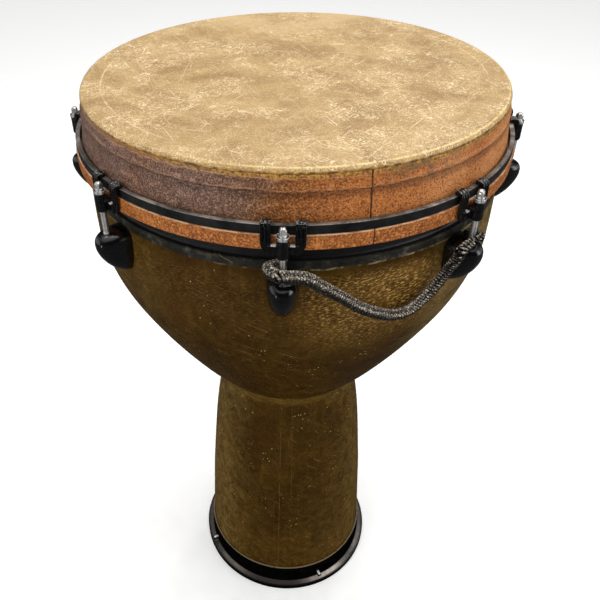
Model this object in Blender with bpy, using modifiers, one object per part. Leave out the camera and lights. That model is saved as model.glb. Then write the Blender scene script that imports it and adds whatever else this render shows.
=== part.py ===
"""Key-tuned djembe: goblet shell, film head, counter-hoop pulled down at eight stations, rope handle.

Metres, +Z up. The origin is the centre of the foot, at floor level. Station 1 faces -Y, and the
stations run anticlockwise seen from above. A piece of a station is modelled at station 1, with
x across the piece, -y away from the drum and z up, and is then turned about Z to its station.
"""
from math import cos, pi, radians, sin

import bmesh
import bpy
from mathutils import Matrix, Vector

MM = 0.001
GAP = 0.3 * MM                    # clearance between pieces that touch on the real drum
SEGMENTS = 40                     # around the drum
SMALL_SEGMENTS = 10               # around rods, bolts and holes

# Head and shell
HEIGHT = 635 * MM
HEAD_RADIUS = 178 * MM
FILM = 1.0 * MM                   # thickness of the head film
WALL = 5.5 * MM
SHOULDER_Z = 562 * MM             # below it the shell is full size, above it recessed
SHOULDER_RADIUS = 180.5 * MM
RECESS_RADIUS = 176 * MM
SHELL_BOTTOM_Z = 2.5 * MM
# (height, outer radius) from the shoulder down to the foot, in millimetres
SHELL_OUTLINE = (
    (560, 180.5), (525, 181.0), (500, 179.6), (470, 171.2), (440, 157.8), (400, 135.5),
    (360, 109.9), (330, 86.7), (312, 77.0), (296, 76.0), (270, 79.4), (230, 84.6),
    (140, 92.3), (60, 96.6), (2.5, 97.2),
)

# Rings around the head
HOOP_BOTTOM_Z = 578.4 * MM
HOOP_TOP_Z = 590.4 * MM
HOOP_INNER = 179.5 * MM
HOOP_OUTER = 188 * MM
RING_TOP_Z = 598 * MM
RING_INNER = 183 * MM
RING_OUTER = 187 * MM

# Foot ring
FLANGE_RADIUS = 108.15 * MM
FLANGE_HEIGHT = 7.8 * MM
FOOT_WALL_TOP_Z = 33.8 * MM
FOOT_WALL = 2.0 * MM
FOOT_SEAT_RADIUS = SHELL_OUTLINE[-1][1] * MM   # the shell's foot, which stands in the ring
FOOT_PLAY = 0.4 * MM
FOOT_SCREW_ANGLES = (27, 207, 297)
FOOT_SCREW_Z = 14 * MM
FOOT_SCREW_RADIUS = 1.3 * MM
FOOT_SCREW_HEAD_RADIUS = 2.4 * MM
FOOT_SCREW_HEAD = 3.4 * MM

# Tension stations
STATIONS = 8
ROD_ORBIT = 195 * MM              # distance of the rod axes from the drum's axis
ROD_RADIUS = 2.72 * MM
ROD_BOTTOM_Z = 542 * MM
ROD_TOP_Z = 601.3 * MM
ROD_HEAD_SIDE = 5.5 * MM
ROD_HEAD_Z = 595.1 * MM
WASHER_RADIUS = 4.7 * MM
WASHER_BOTTOM_Z = 592.3 * MM
WASHER_TOP_Z = 594.8 * MM
CLAW_WIDTH = 31.6 * MM
CLAW_ARM = 7.6 * MM
CLAW_PLATE = 3.2 * MM
CLAW_BOTTOM_Z = 577 * MM
CLAW_BAR_TOP_Z = 584.5 * MM
CLAW_TOP_Z = 602 * MM
CLAW_BOSS_RADIUS = 4.4 * MM
LUG_TOP_Z = 559.3 * MM
LUG_BOTTOM_Z = 519 * MM
LUG_WIDTH = 24 * MM
LUG_OUTER = 205.5 * MM
LUG_WIDEST_Z = 547 * MM
LUG_SQUARENESS = 2.5              # 2 makes its sections ellipses, more makes them squarer
LUG_CAVITY_BOTTOM_Z = 538 * MM
LUG_CAVITY_TOP_Z = 555.1 * MM
LUG_CAVITY_HALF_WIDTH = 5.4 * MM
LUG_CAVITY_RADIUS = 199.5 * MM    # its far wall's distance from the drum's axis
NUT_RADIUS = 4.6 * MM
NUT_HEIGHT = 10 * MM
BOLT_Z = 528 * MM
BOLT_RADIUS = 2.0 * MM
BOLT_HEAD_RADIUS = 4.4 * MM
BOLT_HEAD = 3 * MM
BOLT_TIP = 187 * MM               # the tip's distance from the drum's axis
CUT_PAST = 10 * MM                # how far a cutter runs out past the piece it cuts

# Rope handle
ROPE_RADIUS = 4.4 * MM
EYE_RADIUS = 9.2 * MM             # of the rope's centreline around the rod
EYE_MIDDLE_Z = 566.7 * MM
EYE_TILT = 2.6 * MM               # how far the eye rises on its high side
EYE_STEPS = 14
HANDLE_AXIS_Z = 565 * MM
# Centreline of the hanging span: (angle from station 1, distance from the drum's axis, height), mm
ROPE_SPAN = (
    (4.6, 199.5, 562.0), (7.6, 195.5, 552.5), (12.2, 192.0, 540.0), (17.2, 190.0, 526.5),
    (22.6, 188.0, 515.0), (27.0, 187.2, 509.0), (31.2, 187.2, 507.8), (35.2, 187.6, 511.8),
    (38.2, 188.6, 520.0), (39.5, 190.5, 531.5), (39.8, 194.5, 543.5), (39.8, 198.0, 552.0),
    (40.1, 199.4, 558.0),
)


def new_collection(name):
    collection = bpy.data.collections.new(name)
    bpy.context.scene.collection.children.link(collection)
    return collection


def material(name, color, roughness, metallic=0.0):
    made = bpy.data.materials.new(name)
    made.use_nodes = True
    shader = made.node_tree.nodes["Principled BSDF"]
    shader.inputs["Base Color"].default_value = (*color, 1)
    shader.inputs["Roughness"].default_value = roughness
    shader.inputs["Metallic"].default_value = metallic
    return made


def add_object(name, mesh, collection, finish=None):
    made = bpy.data.objects.new(name, mesh)
    collection.objects.link(made)
    if finish and not mesh.materials:
        mesh.materials.append(finish)
    return made


def mesh_from(name, fill):
    """A mesh whose content the function fill adds to a bmesh."""
    work = bmesh.new()
    fill(work)
    mesh = bpy.data.meshes.new(name)
    work.to_mesh(mesh)
    work.free()
    return mesh


def profile_mesh(name, points, closed):
    """(radius, height) points joined in a line at +X, for a Screw modifier to turn."""
    edges = [(i, i + 1) for i in range(len(points) - 1)]
    if closed:
        edges.append((len(points) - 1, 0))
    mesh = bpy.data.meshes.new(name)
    mesh.from_pydata([(r, 0, z) for r, z in points], edges, [])
    return mesh


def turn(piece, steps):
    screw = piece.modifiers.new("turned", "SCREW")
    screw.steps = steps
    screw.render_steps = steps
    screw.use_merge_vertices = True
    screw.merge_threshold = 0.00001
    screw.use_smooth_shade = True


def turned(name, points, collection, finish=None, steps=SEGMENTS, closed=True):
    """A piece turned about Z. Its profile runs down the outer side, and back up the inner side."""
    piece = add_object(name, profile_mesh(name, points, closed), collection, finish)
    turn(piece, steps)
    return piece


def box(name, low, high, collection, finish=None):
    middle = (Vector(low) + Vector(high)) / 2
    size = Vector(high) - Vector(low)
    place = Matrix.Translation(middle) @ Matrix.Diagonal((*size, 1))
    mesh = mesh_from(name, lambda work: bmesh.ops.create_cube(work, size=1, matrix=place))
    return add_object(name, mesh, collection, finish)


def cylinder_mesh(name, radius, low, high, place=Matrix(), segments=SMALL_SEGMENTS):
    """A cylinder about the Z axis of place, from low to high, with a flat side facing its Y axis."""
    half_side = Matrix.Rotation(pi / segments, 4, "Z")
    middle = place @ Matrix.Translation((0, 0, (low + high) / 2)) @ half_side
    return mesh_from(name, lambda work: bmesh.ops.create_cone(
        work, cap_ends=True, segments=segments, radius1=radius, radius2=radius,
        depth=high - low, matrix=middle))


def modify_with(piece, other, operation):
    """Cuts other from piece, or joins it to piece."""
    change = piece.modifiers.new(other.name, "BOOLEAN")
    change.operation = operation
    change.solver = "EXACT"
    change.object = other


def cut_with_all(piece, collection):
    change = piece.modifiers.new(collection.name, "BOOLEAN")
    change.operation = "DIFFERENCE"
    change.solver = "EXACT"
    change.operand_type = "COLLECTION"
    change.collection = collection


def finished_mesh(piece):
    """The mesh that the piece's modifiers make."""
    shown = piece.evaluated_get(bpy.context.evaluated_depsgraph_get())
    mesh = bpy.data.meshes.new_from_object(shown)
    mesh.name = piece.name
    return mesh


def shade(mesh, sharp=40):
    mesh.shade_smooth()
    mesh.set_sharp_from_angle(angle=radians(sharp))


def around(angle, radius, height):
    """The point at an angle from station 1, a distance from the drum's axis and a height."""
    return Vector((radius * sin(radians(angle)), -radius * cos(radians(angle)), height))


def station_angle(index):
    return 360 / STATIONS * index


def radial_place(angle, height):
    """A frame on the drum's axis whose Z points away from the drum at that angle."""
    return Matrix.Translation((0, 0, height)) @ Matrix.Rotation(radians(angle), 4, "Z") \
        @ Matrix.Rotation(pi / 2, 4, "X")


def moved_inwards(points, index, distance):
    """A point of the (height, radius) outline moved along the outline's normal there."""
    before = points[index - 1]
    after = points[index + 1]
    along = Vector((after[0] - before[0], after[1] - before[1])).normalized()
    z, r = points[index]
    return z - distance * along.y, r + distance * along.x


# ---------------------------------------------------------------- axisymmetric pieces

def make_shell(finish):
    outside = [(z * MM, r * MM) for z, r in SHELL_OUTLINE]
    edge_z = HEIGHT - FILM - GAP
    recess_inner = RECESS_RADIUS - WALL
    inside = [(SHOULDER_Z - 6 * MM, recess_inner), (SHOULDER_Z - 11 * MM, SHOULDER_RADIUS - WALL)]
    inside += [moved_inwards(outside, index, WALL) for index in (2, 4, 6, 8, 9, 11, 13)]
    inside.append((outside[-1][0], outside[-1][1] - WALL))
    bearing_edge = [
        (recess_inner, edge_z - 5 * MM), (RECESS_RADIUS - 3.5 * MM, edge_z),
        (RECESS_RADIUS - 1.6 * MM, edge_z - 0.9 * MM), (RECESS_RADIUS, edge_z - 4 * MM),
    ]
    shoulder = [
        (RECESS_RADIUS, SHOULDER_Z + 0.3 * MM), (SHOULDER_RADIUS - 0.7 * MM, SHOULDER_Z),
    ]
    profile = bearing_edge + shoulder
    profile += [(r, z) for z, r in outside]
    profile += [(r, z) for z, r in reversed(inside)]
    shell = turned("shell", profile, PARTS, finish)
    bolt_holes = new_collection("lug_bolt_holes")
    for index in range(STATIONS):
        hole = cylinder_mesh("hole", BOLT_RADIUS + 0.5 * MM, SHOULDER_RADIUS - WALL - CUT_PAST,
                             SHOULDER_RADIUS + CUT_PAST, radial_place(station_angle(index), BOLT_Z))
        bolt_holes.objects.link(add_object(f"lug_bolt_hole_{index + 1}", hole, CUTTERS))
    cut_with_all(shell, bolt_holes)
    cut_with_all(shell, SCREW_HOLES)
    return shell


def make_head_membrane(finish):
    under = HEIGHT - FILM
    profile = [
        (0, HEIGHT), (HEAD_RADIUS - 4 * MM, HEIGHT), (HEAD_RADIUS - 1.2 * MM, HEIGHT - 0.9 * MM),
        (HEAD_RADIUS - 0.15 * MM, HEIGHT - 2.6 * MM), (HEAD_RADIUS, HEIGHT - 4.2 * MM),
        (HEAD_RADIUS - FILM, HEIGHT - 4.2 * MM), (HEAD_RADIUS - 1.2 * MM, under - 2.2 * MM),
        (HEAD_RADIUS - 2.2 * MM, under - 0.7 * MM), (HEAD_RADIUS - 4.4 * MM, under), (0, under),
    ]
    return turned("head_membrane", profile, PARTS, finish, closed=False)


def make_head_collar(finish):
    """The side of the film, with the pressed ridge that runs around it."""
    top = HEIGHT - 4.5 * MM
    bottom = HOOP_TOP_Z + GAP
    flare = 4.3 * MM
    ridge = ((0.0, 0.0), (0.20, 0.4), (0.235, 0.8), (0.29, 0.8), (0.33, 0.1), (0.36, 0.0), (1.0, 0.0))
    outer = []
    for share, bulge in ridge:
        outer.append((HEAD_RADIUS + flare * share ** 1.2 + bulge * MM, top + (bottom - top) * share))
    inner = [(r - FILM, z) for r, z in reversed(outer[::3])]
    return turned("head_collar", outer + inner, PARTS, finish)


def make_flesh_hoop(finish):
    edge = 1 * MM
    profile = [
        (HOOP_INNER, HOOP_TOP_Z), (HOOP_OUTER - edge, HOOP_TOP_Z), (HOOP_OUTER, HOOP_TOP_Z - edge),
        (HOOP_OUTER, HOOP_BOTTOM_Z + edge), (HOOP_OUTER - edge, HOOP_BOTTOM_Z),
        (HOOP_INNER, HOOP_BOTTOM_Z),
    ]
    return turned("flesh_hoop", profile, MOVING, finish)


def make_tension_ring(finish):
    bottom = HOOP_TOP_Z + GAP
    profile = [
        (RING_INNER, RING_TOP_Z), (RING_OUTER, RING_TOP_Z), (RING_OUTER, bottom), (RING_INNER, bottom),
    ]
    return turned("tension_ring", profile, MOVING, finish)


def make_foot_ring(finish):
    """An L-shaped ring: the shell stands in it, and its flange spreads on the floor."""
    inner = FOOT_SEAT_RADIUS + FOOT_PLAY
    wall = inner + FOOT_WALL
    seat = SHELL_BOTTOM_Z - GAP
    profile = [
        (inner, FOOT_WALL_TOP_Z), (wall, FOOT_WALL_TOP_Z),
        (wall + 0.6 * MM, FLANGE_HEIGHT - 0.6 * MM), (FLANGE_RADIUS - 2.2 * MM, FLANGE_HEIGHT - 1.2 * MM),
        (FLANGE_RADIUS - 1.2 * MM, FLANGE_HEIGHT), (FLANGE_RADIUS, FLANGE_HEIGHT - 0.8 * MM),
        (FLANGE_RADIUS, 0), (FOOT_SEAT_RADIUS - WALL, 0), (FOOT_SEAT_RADIUS - WALL, seat), (inner, seat),
    ]
    ring = turned("foot_ring", profile, PARTS, finish)
    cut_with_all(ring, SCREW_HOLES)
    return ring


def make_foot_screws(finish):
    """Round-headed screws through the ring's wall and the shell. Their Z axis points outwards."""
    seat = FOOT_SEAT_RADIUS + FOOT_PLAY + FOOT_WALL + 0.7 * MM
    top = seat + FOOT_SCREW_HEAD
    tip = FOOT_SEAT_RADIUS - WALL - 1 * MM
    head = FOOT_SCREW_HEAD_RADIUS
    profile = [
        (0, top), (head * 0.7, top - 0.5 * MM), (head, top - 2 * MM), (head, seat),
        (FOOT_SCREW_RADIUS, seat), (FOOT_SCREW_RADIUS, tip + 0.5 * MM),
        (FOOT_SCREW_RADIUS - 0.5 * MM, tip), (0, tip),
    ]
    mesh = None
    for number, angle in enumerate(FOOT_SCREW_ANGLES, 1):
        if mesh is None:
            screw = turned(f"foot_screw_{number}", profile, PARTS, finish, SMALL_SEGMENTS, closed=False)
            mesh = screw.data
        else:
            screw = add_object(f"foot_screw_{number}", mesh, PARTS)
            turn(screw, SMALL_SEGMENTS)
        screw.matrix_world = radial_place(angle, FOOT_SCREW_Z)


def add_screw_holes():
    for number, angle in enumerate(FOOT_SCREW_ANGLES, 1):
        hole = cylinder_mesh("hole", FOOT_SCREW_RADIUS + 0.4 * MM, FOOT_SEAT_RADIUS - WALL - CUT_PAST / 2,
                             FOOT_SEAT_RADIUS + CUT_PAST / 2, radial_place(angle, FOOT_SCREW_Z))
        SCREW_HOLES.objects.link(add_object(f"foot_screw_hole_{number}", hole, CUTTERS))


# ---------------------------------------------------------------- tension stations

def claw_mesh(finish):
    """A plate in front of the hoop, two hooks over the ring and a boss that the rod goes through."""
    back = -(HOOP_OUTER + 0.6 * MM)
    front = back - CLAW_PLATE
    half = CLAW_WIDTH / 2
    plate = box("claw_plate", (-half, front, CLAW_BOTTOM_Z), (half, back, CLAW_BAR_TOP_Z), CUTTERS, finish)
    round_lower_corners(plate)
    for side in (-1, 1):
        across = sorted((side * half, side * (half - CLAW_ARM)))
        arm = box("claw_arm", (across[0], front, CLAW_BAR_TOP_Z - 1.5 * MM),
                  (across[1], back, CLAW_TOP_Z), CUTTERS)
        hook = box("claw_hook", (across[0], front + 0.5 * MM, RING_TOP_Z + GAP),
                   (across[1], -(RING_INNER + 0.4 * MM), CLAW_TOP_Z - 0.01 * MM), CUTTERS)
        narrow(hook, 0.05 * MM)
        modify_with(plate, arm, "UNION")
        modify_with(plate, hook, "UNION")
    on_rod = Matrix.Translation((0, -ROD_ORBIT, 0))
    boss_top = WASHER_BOTTOM_Z - GAP
    boss = add_object("claw_boss", cylinder_mesh(
        "boss", CLAW_BOSS_RADIUS, CLAW_BOTTOM_Z + 0.05 * MM, boss_top, on_rod), CUTTERS)
    bore = cylinder_mesh("bore", ROD_RADIUS + 0.5 * MM, CLAW_BOTTOM_Z - CUT_PAST, CLAW_TOP_Z, on_rod)
    modify_with(plate, boss, "UNION")
    modify_with(plate, add_object("claw_bore", bore, CUTTERS), "DIFFERENCE")
    return finished_mesh(plate)


def narrow(piece, amount):
    """Pulls a box's sides in, so that its sides do not lie in its neighbour's."""
    middle = sum((v.co.x for v in piece.data.vertices)) / len(piece.data.vertices)
    for v in piece.data.vertices:
        v.co.x += amount if v.co.x < middle else -amount


def round_lower_corners(piece):
    work = bmesh.new()
    work.from_mesh(piece.data)
    low = min(v.co.z for v in work.verts)
    ends = [e for e in work.edges if all(v.co.z < low + 1e-6 for v in e.verts)
            and abs(e.verts[0].co.x - e.verts[1].co.x) < 1e-6]
    bmesh.ops.bevel(work, geom=ends, offset=6.5 * MM, segments=3, profile=0.5, affect="EDGES")
    work.to_mesh(piece.data)
    work.free()


def lug_mesh(finish):
    """A drop-shaped casting, open at the back, that holds the nut and takes the bolt."""
    mesh = mesh_from("lug", lug_body)
    lug = add_object("lug_body", mesh, CUTTERS, finish)
    seat_radius = SHOULDER_RADIUS + 0.9 * MM
    above = LUG_TOP_Z + CUT_PAST
    below = LUG_BOTTOM_Z - CUT_PAST
    shell_side = turned("lug_seat", [(0, above), (seat_radius, above), (seat_radius, below), (0, below)],
                        CUTTERS, closed=False)
    cavity = box("lug_cavity", (-LUG_CAVITY_HALF_WIDTH, -LUG_CAVITY_RADIUS, LUG_CAVITY_BOTTOM_Z),
                 (LUG_CAVITY_HALF_WIDTH, -RECESS_RADIUS, LUG_CAVITY_TOP_Z), CUTTERS)
    on_rod = Matrix.Translation((0, -ROD_ORBIT, 0))
    rod_hole = add_object("lug_rod_hole", cylinder_mesh(
        "hole", ROD_RADIUS + 0.6 * MM, LUG_CAVITY_TOP_Z - CUT_PAST / 2, above, on_rod), CUTTERS)
    bolt_hole = add_object("lug_bolt_seat", cylinder_mesh(
        "hole", BOLT_RADIUS + 0.3 * MM, SHOULDER_RADIUS - CUT_PAST, BOLT_TIP + 1 * MM,
        radial_place(0, BOLT_Z)), CUTTERS)
    for cutter in (shell_side, cavity, rod_hole, bolt_hole):
        modify_with(lug, cutter, "DIFFERENCE")
    return finished_mesh(lug)


def lug_body(work):
    """A sphere squared off at the top and drawn out towards its lower end."""
    bmesh.ops.create_uvsphere(work, u_segments=14, v_segments=9, radius=1)
    for v in work.verts:
        level = v.co.z
        reach = LUG_TOP_Z - LUG_WIDEST_Z if level > 0 else LUG_WIDEST_Z - LUG_BOTTOM_Z
        across = Vector((v.co.x, v.co.y))
        if across.length > 1e-6:
            across.normalize()
            squareness = LUG_SQUARENESS
            square = (abs(across.x) ** squareness + abs(across.y) ** squareness) ** (-1 / squareness)
            across *= square * lug_fullness(level)
        v.co = Vector((
            across.x * LUG_WIDTH / 2,
            across.y * (LUG_OUTER - SHOULDER_RADIUS) - SHOULDER_RADIUS,
            LUG_WIDEST_Z + level * reach,
        ))


def lug_fullness(level):
    """Size of the lug's section, from 0 at its poles to 1 at its widest level."""
    if level > 0:
        return max(1 - level ** 3.4, 0) ** (1 / 2.2)
    return max(1 - level ** 2, 0) ** 0.5


def rod_mesh(finish):
    """Shank with a collar, and the square head that the key turns. The rod's axis is its Z axis."""
    top = ROD_HEAD_Z + 1 * MM
    profile = [
        (0, top), (ROD_RADIUS + 0.6 * MM, top), (ROD_RADIUS + 0.6 * MM, ROD_HEAD_Z),
        (ROD_RADIUS, ROD_HEAD_Z), (ROD_RADIUS, ROD_BOTTOM_Z + 0.8 * MM),
        (ROD_RADIUS - 0.8 * MM, ROD_BOTTOM_Z), (0, ROD_BOTTOM_Z),
    ]
    rod = turned("rod_shank", profile, CUTTERS, finish, SMALL_SEGMENTS, closed=False)
    half = ROD_HEAD_SIDE / 2
    head = box("rod_head", (-half, -half, ROD_HEAD_Z + 0.3 * MM), (half, half, ROD_TOP_Z), CUTTERS)
    rounding = head.modifiers.new("rounded", "BEVEL")
    rounding.width = 0.9 * MM
    rounding.segments = 1
    modify_with(rod, head, "UNION")
    return finished_mesh(rod)


def washer_mesh(finish):
    hole = ROD_RADIUS + 0.35 * MM
    profile = [
        (hole, WASHER_TOP_Z), (WASHER_RADIUS - 0.4 * MM, WASHER_TOP_Z),
        (WASHER_RADIUS, WASHER_BOTTOM_Z), (hole, WASHER_BOTTOM_Z),
    ]
    return finished_mesh(turned("washer", profile, CUTTERS, finish, SMALL_SEGMENTS))


def nut_mesh(finish):
    top = LUG_CAVITY_TOP_Z - GAP
    hexagon = cylinder_mesh("nut", NUT_RADIUS, top - NUT_HEIGHT, top, segments=6)
    nut = add_object("nut_body", hexagon, CUTTERS, finish)
    bore = cylinder_mesh("bore", ROD_RADIUS + 0.3 * MM, top - NUT_HEIGHT - CUT_PAST, top + CUT_PAST)
    modify_with(nut, add_object("nut_bore", bore, CUTTERS), "DIFFERENCE")
    return finished_mesh(nut)


def bolt_mesh(finish):
    """Head inside the shell, shank through the shell's wall into the lug. Its Z axis points outwards."""
    seat = SHOULDER_RADIUS - WALL - 1.3 * MM
    profile = [
        (0, BOLT_TIP), (BOLT_RADIUS - 0.4 * MM, BOLT_TIP), (BOLT_RADIUS, BOLT_TIP - 0.6 * MM),
        (BOLT_RADIUS, seat), (BOLT_HEAD_RADIUS, seat), (BOLT_HEAD_RADIUS, seat - BOLT_HEAD / 2),
        (BOLT_HEAD_RADIUS - 1.4 * MM, seat - BOLT_HEAD), (0, seat - BOLT_HEAD),
    ]
    return finished_mesh(turned("bolt", profile, CUTTERS, finish, SMALL_SEGMENTS, closed=False))


def place_stations(black, chrome, steel):
    meshes = {
        "claw": claw_mesh(black), "lug": lug_mesh(material("lug_black", (0.012, 0.012, 0.012), 0.25)),
        "tension_rod": rod_mesh(chrome), "rod_washer": washer_mesh(chrome),
        "swivel_nut": nut_mesh(steel), "lug_bolt": bolt_mesh(steel),
    }
    for mesh in meshes.values():
        shade(mesh)
    moving = ("claw", "rod_washer", "tension_rod")
    for index in range(STATIONS):
        angle = station_angle(index)
        spin = Matrix.Rotation(radians(angle), 4, "Z")
        on_rod = spin @ Matrix.Translation((0, -ROD_ORBIT, 0))
        places = {
            "claw": spin, "lug": spin, "tension_rod": on_rod, "rod_washer": on_rod,
            "swivel_nut": on_rod, "lug_bolt": radial_place(angle, BOLT_Z),
        }
        for name, mesh in meshes.items():
            piece = add_object(f"{name}_{index + 1}", mesh, MOVING if name in moving else PARTS)
            piece.matrix_world = places[name]


# ---------------------------------------------------------------- rope handle

def rope(name, points, cyclic, finish):
    """A rope of round section along points. Its ends, if it has any, are closed."""
    curve = bpy.data.curves.new(name, "CURVE")
    curve.dimensions = "3D"
    curve.bevel_depth = ROPE_RADIUS
    curve.bevel_resolution = 2
    curve.use_fill_caps = True
    spline = curve.splines.new("POLY")
    spline.points.add(len(points) - 1)
    for slot, point in zip(spline.points, points):
        slot.co = (*point, 1)
    spline.use_cyclic_u = cyclic
    curve.materials.append(finish)
    piece = bpy.data.objects.new(name, curve)
    PARTS.objects.link(piece)
    return piece


def make_rope_eye(name, index, high_side, finish):
    """The rope's loop around a rod, tilted so that it is highest at the angle high_side."""
    centre = around(station_angle(index), ROD_ORBIT, EYE_MIDDLE_Z)
    outwards = station_angle(index) - 90
    points = []
    for step in range(EYE_STEPS):
        angle = radians(outwards + 360 * step / EYE_STEPS)
        lift = EYE_TILT * cos(angle - radians(outwards + high_side))
        points.append(centre + Vector((EYE_RADIUS * cos(angle), EYE_RADIUS * sin(angle), lift)))
    return rope(name, points, True, finish)


def make_handle(finish):
    """The hanging span. It swings about the line between the two rods that hold it."""
    ends = [around(station_angle(i), ROD_ORBIT, HANDLE_AXIS_Z) for i in (0, 1)]
    middle = (ends[0] + ends[1]) / 2
    pivot = bpy.data.objects.new("handle_pivot", None)
    pivot.location = middle
    PARTS.objects.link(pivot)
    points = [around(angle, r * MM, z * MM) - middle for angle, r, z in ROPE_SPAN]
    rope("rope_handle", points, False, finish).parent = pivot


def make_drum():
    black = material("black_steel", (0.015, 0.016, 0.017), 0.35, 0.3)
    chrome = material("chrome", (0.8, 0.8, 0.8), 0.12, 1.0)
    steel = material("zinc_steel", (0.5, 0.5, 0.48), 0.4, 1.0)
    rope_yarn = material("charcoal_rope", (0.06, 0.06, 0.06), 0.9)
    add_screw_holes()
    make_shell(material("olive_brown_shell", (0.075, 0.05, 0.016), 0.55))
    make_head_membrane(material("tan_film", (0.62, 0.45, 0.25), 0.5))
    make_head_collar(material("brown_film", (0.22, 0.10, 0.05), 0.55))
    make_flesh_hoop(material("orange_brown_film", (0.38, 0.15, 0.06), 0.5))
    make_tension_ring(material("ring_black", (0.02, 0.022, 0.024), 0.4, 0.3))
    make_foot_ring(material("foot_black", (0.02, 0.02, 0.02), 0.45))
    make_foot_screws(black)
    place_stations(black, chrome, steel)
    make_rope_eye("rope_eye_left", 0, -45, rope_yarn)
    make_rope_eye("rope_eye_right", 1, 0, rope_yarn)
    make_handle(rope_yarn)
    slider = bpy.data.objects.new("tuning_axis", None)
    MOVING.objects.link(slider)
    for piece in MOVING.objects:
        if piece is not slider:
            piece.parent = slider


for old in list(bpy.data.objects):
    bpy.data.objects.remove(old)
PARTS = new_collection("djembe")
MOVING = new_collection("djembe_tuned_parts")
CUTTERS = new_collection("cutters")
SCREW_HOLES = new_collection("foot_screw_holes")
make_drum()
# Cutters shape other pieces and are not pieces themselves
for guide in CUTTERS.objects:
    guide.hide_render = True
    guide.display_type = "WIRE"
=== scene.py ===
from math import atan2, cos, hypot, pi, radians, sin

import bmesh
import bpy
import numpy as np
from mathutils import Matrix, Vector, kdtree, noise


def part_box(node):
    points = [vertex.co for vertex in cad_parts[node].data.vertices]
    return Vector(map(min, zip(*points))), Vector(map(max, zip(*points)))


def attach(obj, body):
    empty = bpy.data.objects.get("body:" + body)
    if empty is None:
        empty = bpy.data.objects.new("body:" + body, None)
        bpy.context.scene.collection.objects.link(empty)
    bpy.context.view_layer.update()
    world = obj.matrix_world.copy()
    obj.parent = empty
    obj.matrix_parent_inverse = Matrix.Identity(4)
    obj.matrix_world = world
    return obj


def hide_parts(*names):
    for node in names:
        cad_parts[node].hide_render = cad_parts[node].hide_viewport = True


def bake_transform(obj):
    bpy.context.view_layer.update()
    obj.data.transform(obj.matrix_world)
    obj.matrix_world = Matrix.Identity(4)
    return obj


# The looks of a key-tuned djembe. Metres, +Z up, origin at the centre of the foot. Station 1 faces -Y
# and the stations run anticlockwise seen from above; a station's pieces are made at station 1.
# Sizes and places on the drum are real ones, so a finish may name the height at which it changes.

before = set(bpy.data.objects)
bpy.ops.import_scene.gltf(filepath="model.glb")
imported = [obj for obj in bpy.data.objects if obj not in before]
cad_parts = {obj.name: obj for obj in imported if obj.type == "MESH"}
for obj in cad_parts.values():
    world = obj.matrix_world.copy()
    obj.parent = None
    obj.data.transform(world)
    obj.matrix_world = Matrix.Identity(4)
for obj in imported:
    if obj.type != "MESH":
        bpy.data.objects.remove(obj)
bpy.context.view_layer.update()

MM = 0.001
STATIONS = 8
AROUND = 288                      # segments around the drum


# ---------------------------------------------------------------- places taken from the frame

def top_of(node):
    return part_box(node)[1][2]


def bottom_of(node):
    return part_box(node)[0][2]


def radius_of(node):
    """How far a node reaches along +X: the radius of a round one, half the width of one at station 1."""
    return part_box(node)[1][0]


HEAD_TOP = top_of("head_membrane")
HEAD_RADIUS = radius_of("head_membrane")
COLLAR_BOTTOM = bottom_of("head_collar")
HOOP_TOP, HOOP_BOTTOM = top_of("flesh_hoop"), bottom_of("flesh_hoop")
HOOP_RADIUS = radius_of("flesh_hoop")
RING_TOP, RING_BOTTOM = top_of("tension_ring"), bottom_of("tension_ring")
RING_RADIUS = radius_of("tension_ring")
FOOT_RADIUS = radius_of("foot_ring")
FOOT_TOP = top_of("foot_ring")
CLAW_TOP, CLAW_BOTTOM = top_of("claw_1"), bottom_of("claw_1")
LUG_TOP, LUG_BOTTOM = top_of("lug_1"), bottom_of("lug_1")
LUG_REACH = -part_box("lug_1")[0][1]
ROD_BOTTOM = bottom_of("tension_rod_1")
WASHER_TOP, WASHER_BOTTOM = top_of("rod_washer_1"), bottom_of("rod_washer_1")
ROD_ORBIT = -(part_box("rod_washer_1")[0][1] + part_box("rod_washer_1")[1][1]) / 2

SHOULDER_Z = 564.4 * MM
RECESS_RADIUS = 176 * MM
WALL = 5.5 * MM
# The shell's outline: (height, radius) in mm, from the shoulder down to the foot
SHELL_OUTLINE = (
    (561.5, 180.5), (540, 181.0), (520, 180.9), (500, 179.6), (470, 171.2), (440, 157.8), (400, 135.5),
    (360, 109.9), (330, 87.0), (312, 77.0), (300, 75.6), (285, 76.9), (260, 80.9), (230, 84.6),
    (185, 88.7), (140, 92.3), (100, 94.6), (60, 96.6), (30, 97.1), (2.5, 97.2),
)
SEAM_ANGLE = 18.8                 # where the film's ends meet, in degrees from station 1
HOOP_SEAM_ANGLE = SEAM_ANGLE + 0.4


# ---------------------------------------------------------------- mesh helpers

def smooth_line(points, per_span):
    """A curve through all the points, with per_span steps between neighbours."""
    p = np.array(points, float)
    p = np.vstack([2 * p[0] - p[1], p, 2 * p[-1] - p[-2]])
    t = np.linspace(0, 1, per_span, endpoint=False)[:, None]
    spans = []
    for a, b, c, d in zip(p[:-3], p[1:-2], p[2:-1], p[3:]):
        spans.append(0.5 * (2 * b + (c - a) * t + (2 * a - 5 * b + 4 * c - d) * t ** 2
                            + (3 * b - a - 3 * c + d) * t ** 3))
    return np.vstack(spans + [p[-2:-1]])


def rounded(corners, steps=5):
    """A closed outline from (x, y, length) corners, each rounded off over its length."""
    outline = []
    count = len(corners)
    for i, (x, y, reach) in enumerate(corners):
        here = np.array((x, y))
        ends = []
        for other in (corners[i - 1], corners[(i + 1) % count]):
            away = np.array(other[:2]) - here
            length = np.linalg.norm(away)
            ends.append(here + away / length * min(reach, length * 0.49))
        for u in np.linspace(0, 1, steps + 1):
            outline.append((1 - u) ** 2 * ends[0] + 2 * u * (1 - u) * here + u ** 2 * ends[1])
    return np.array(outline)


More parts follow.
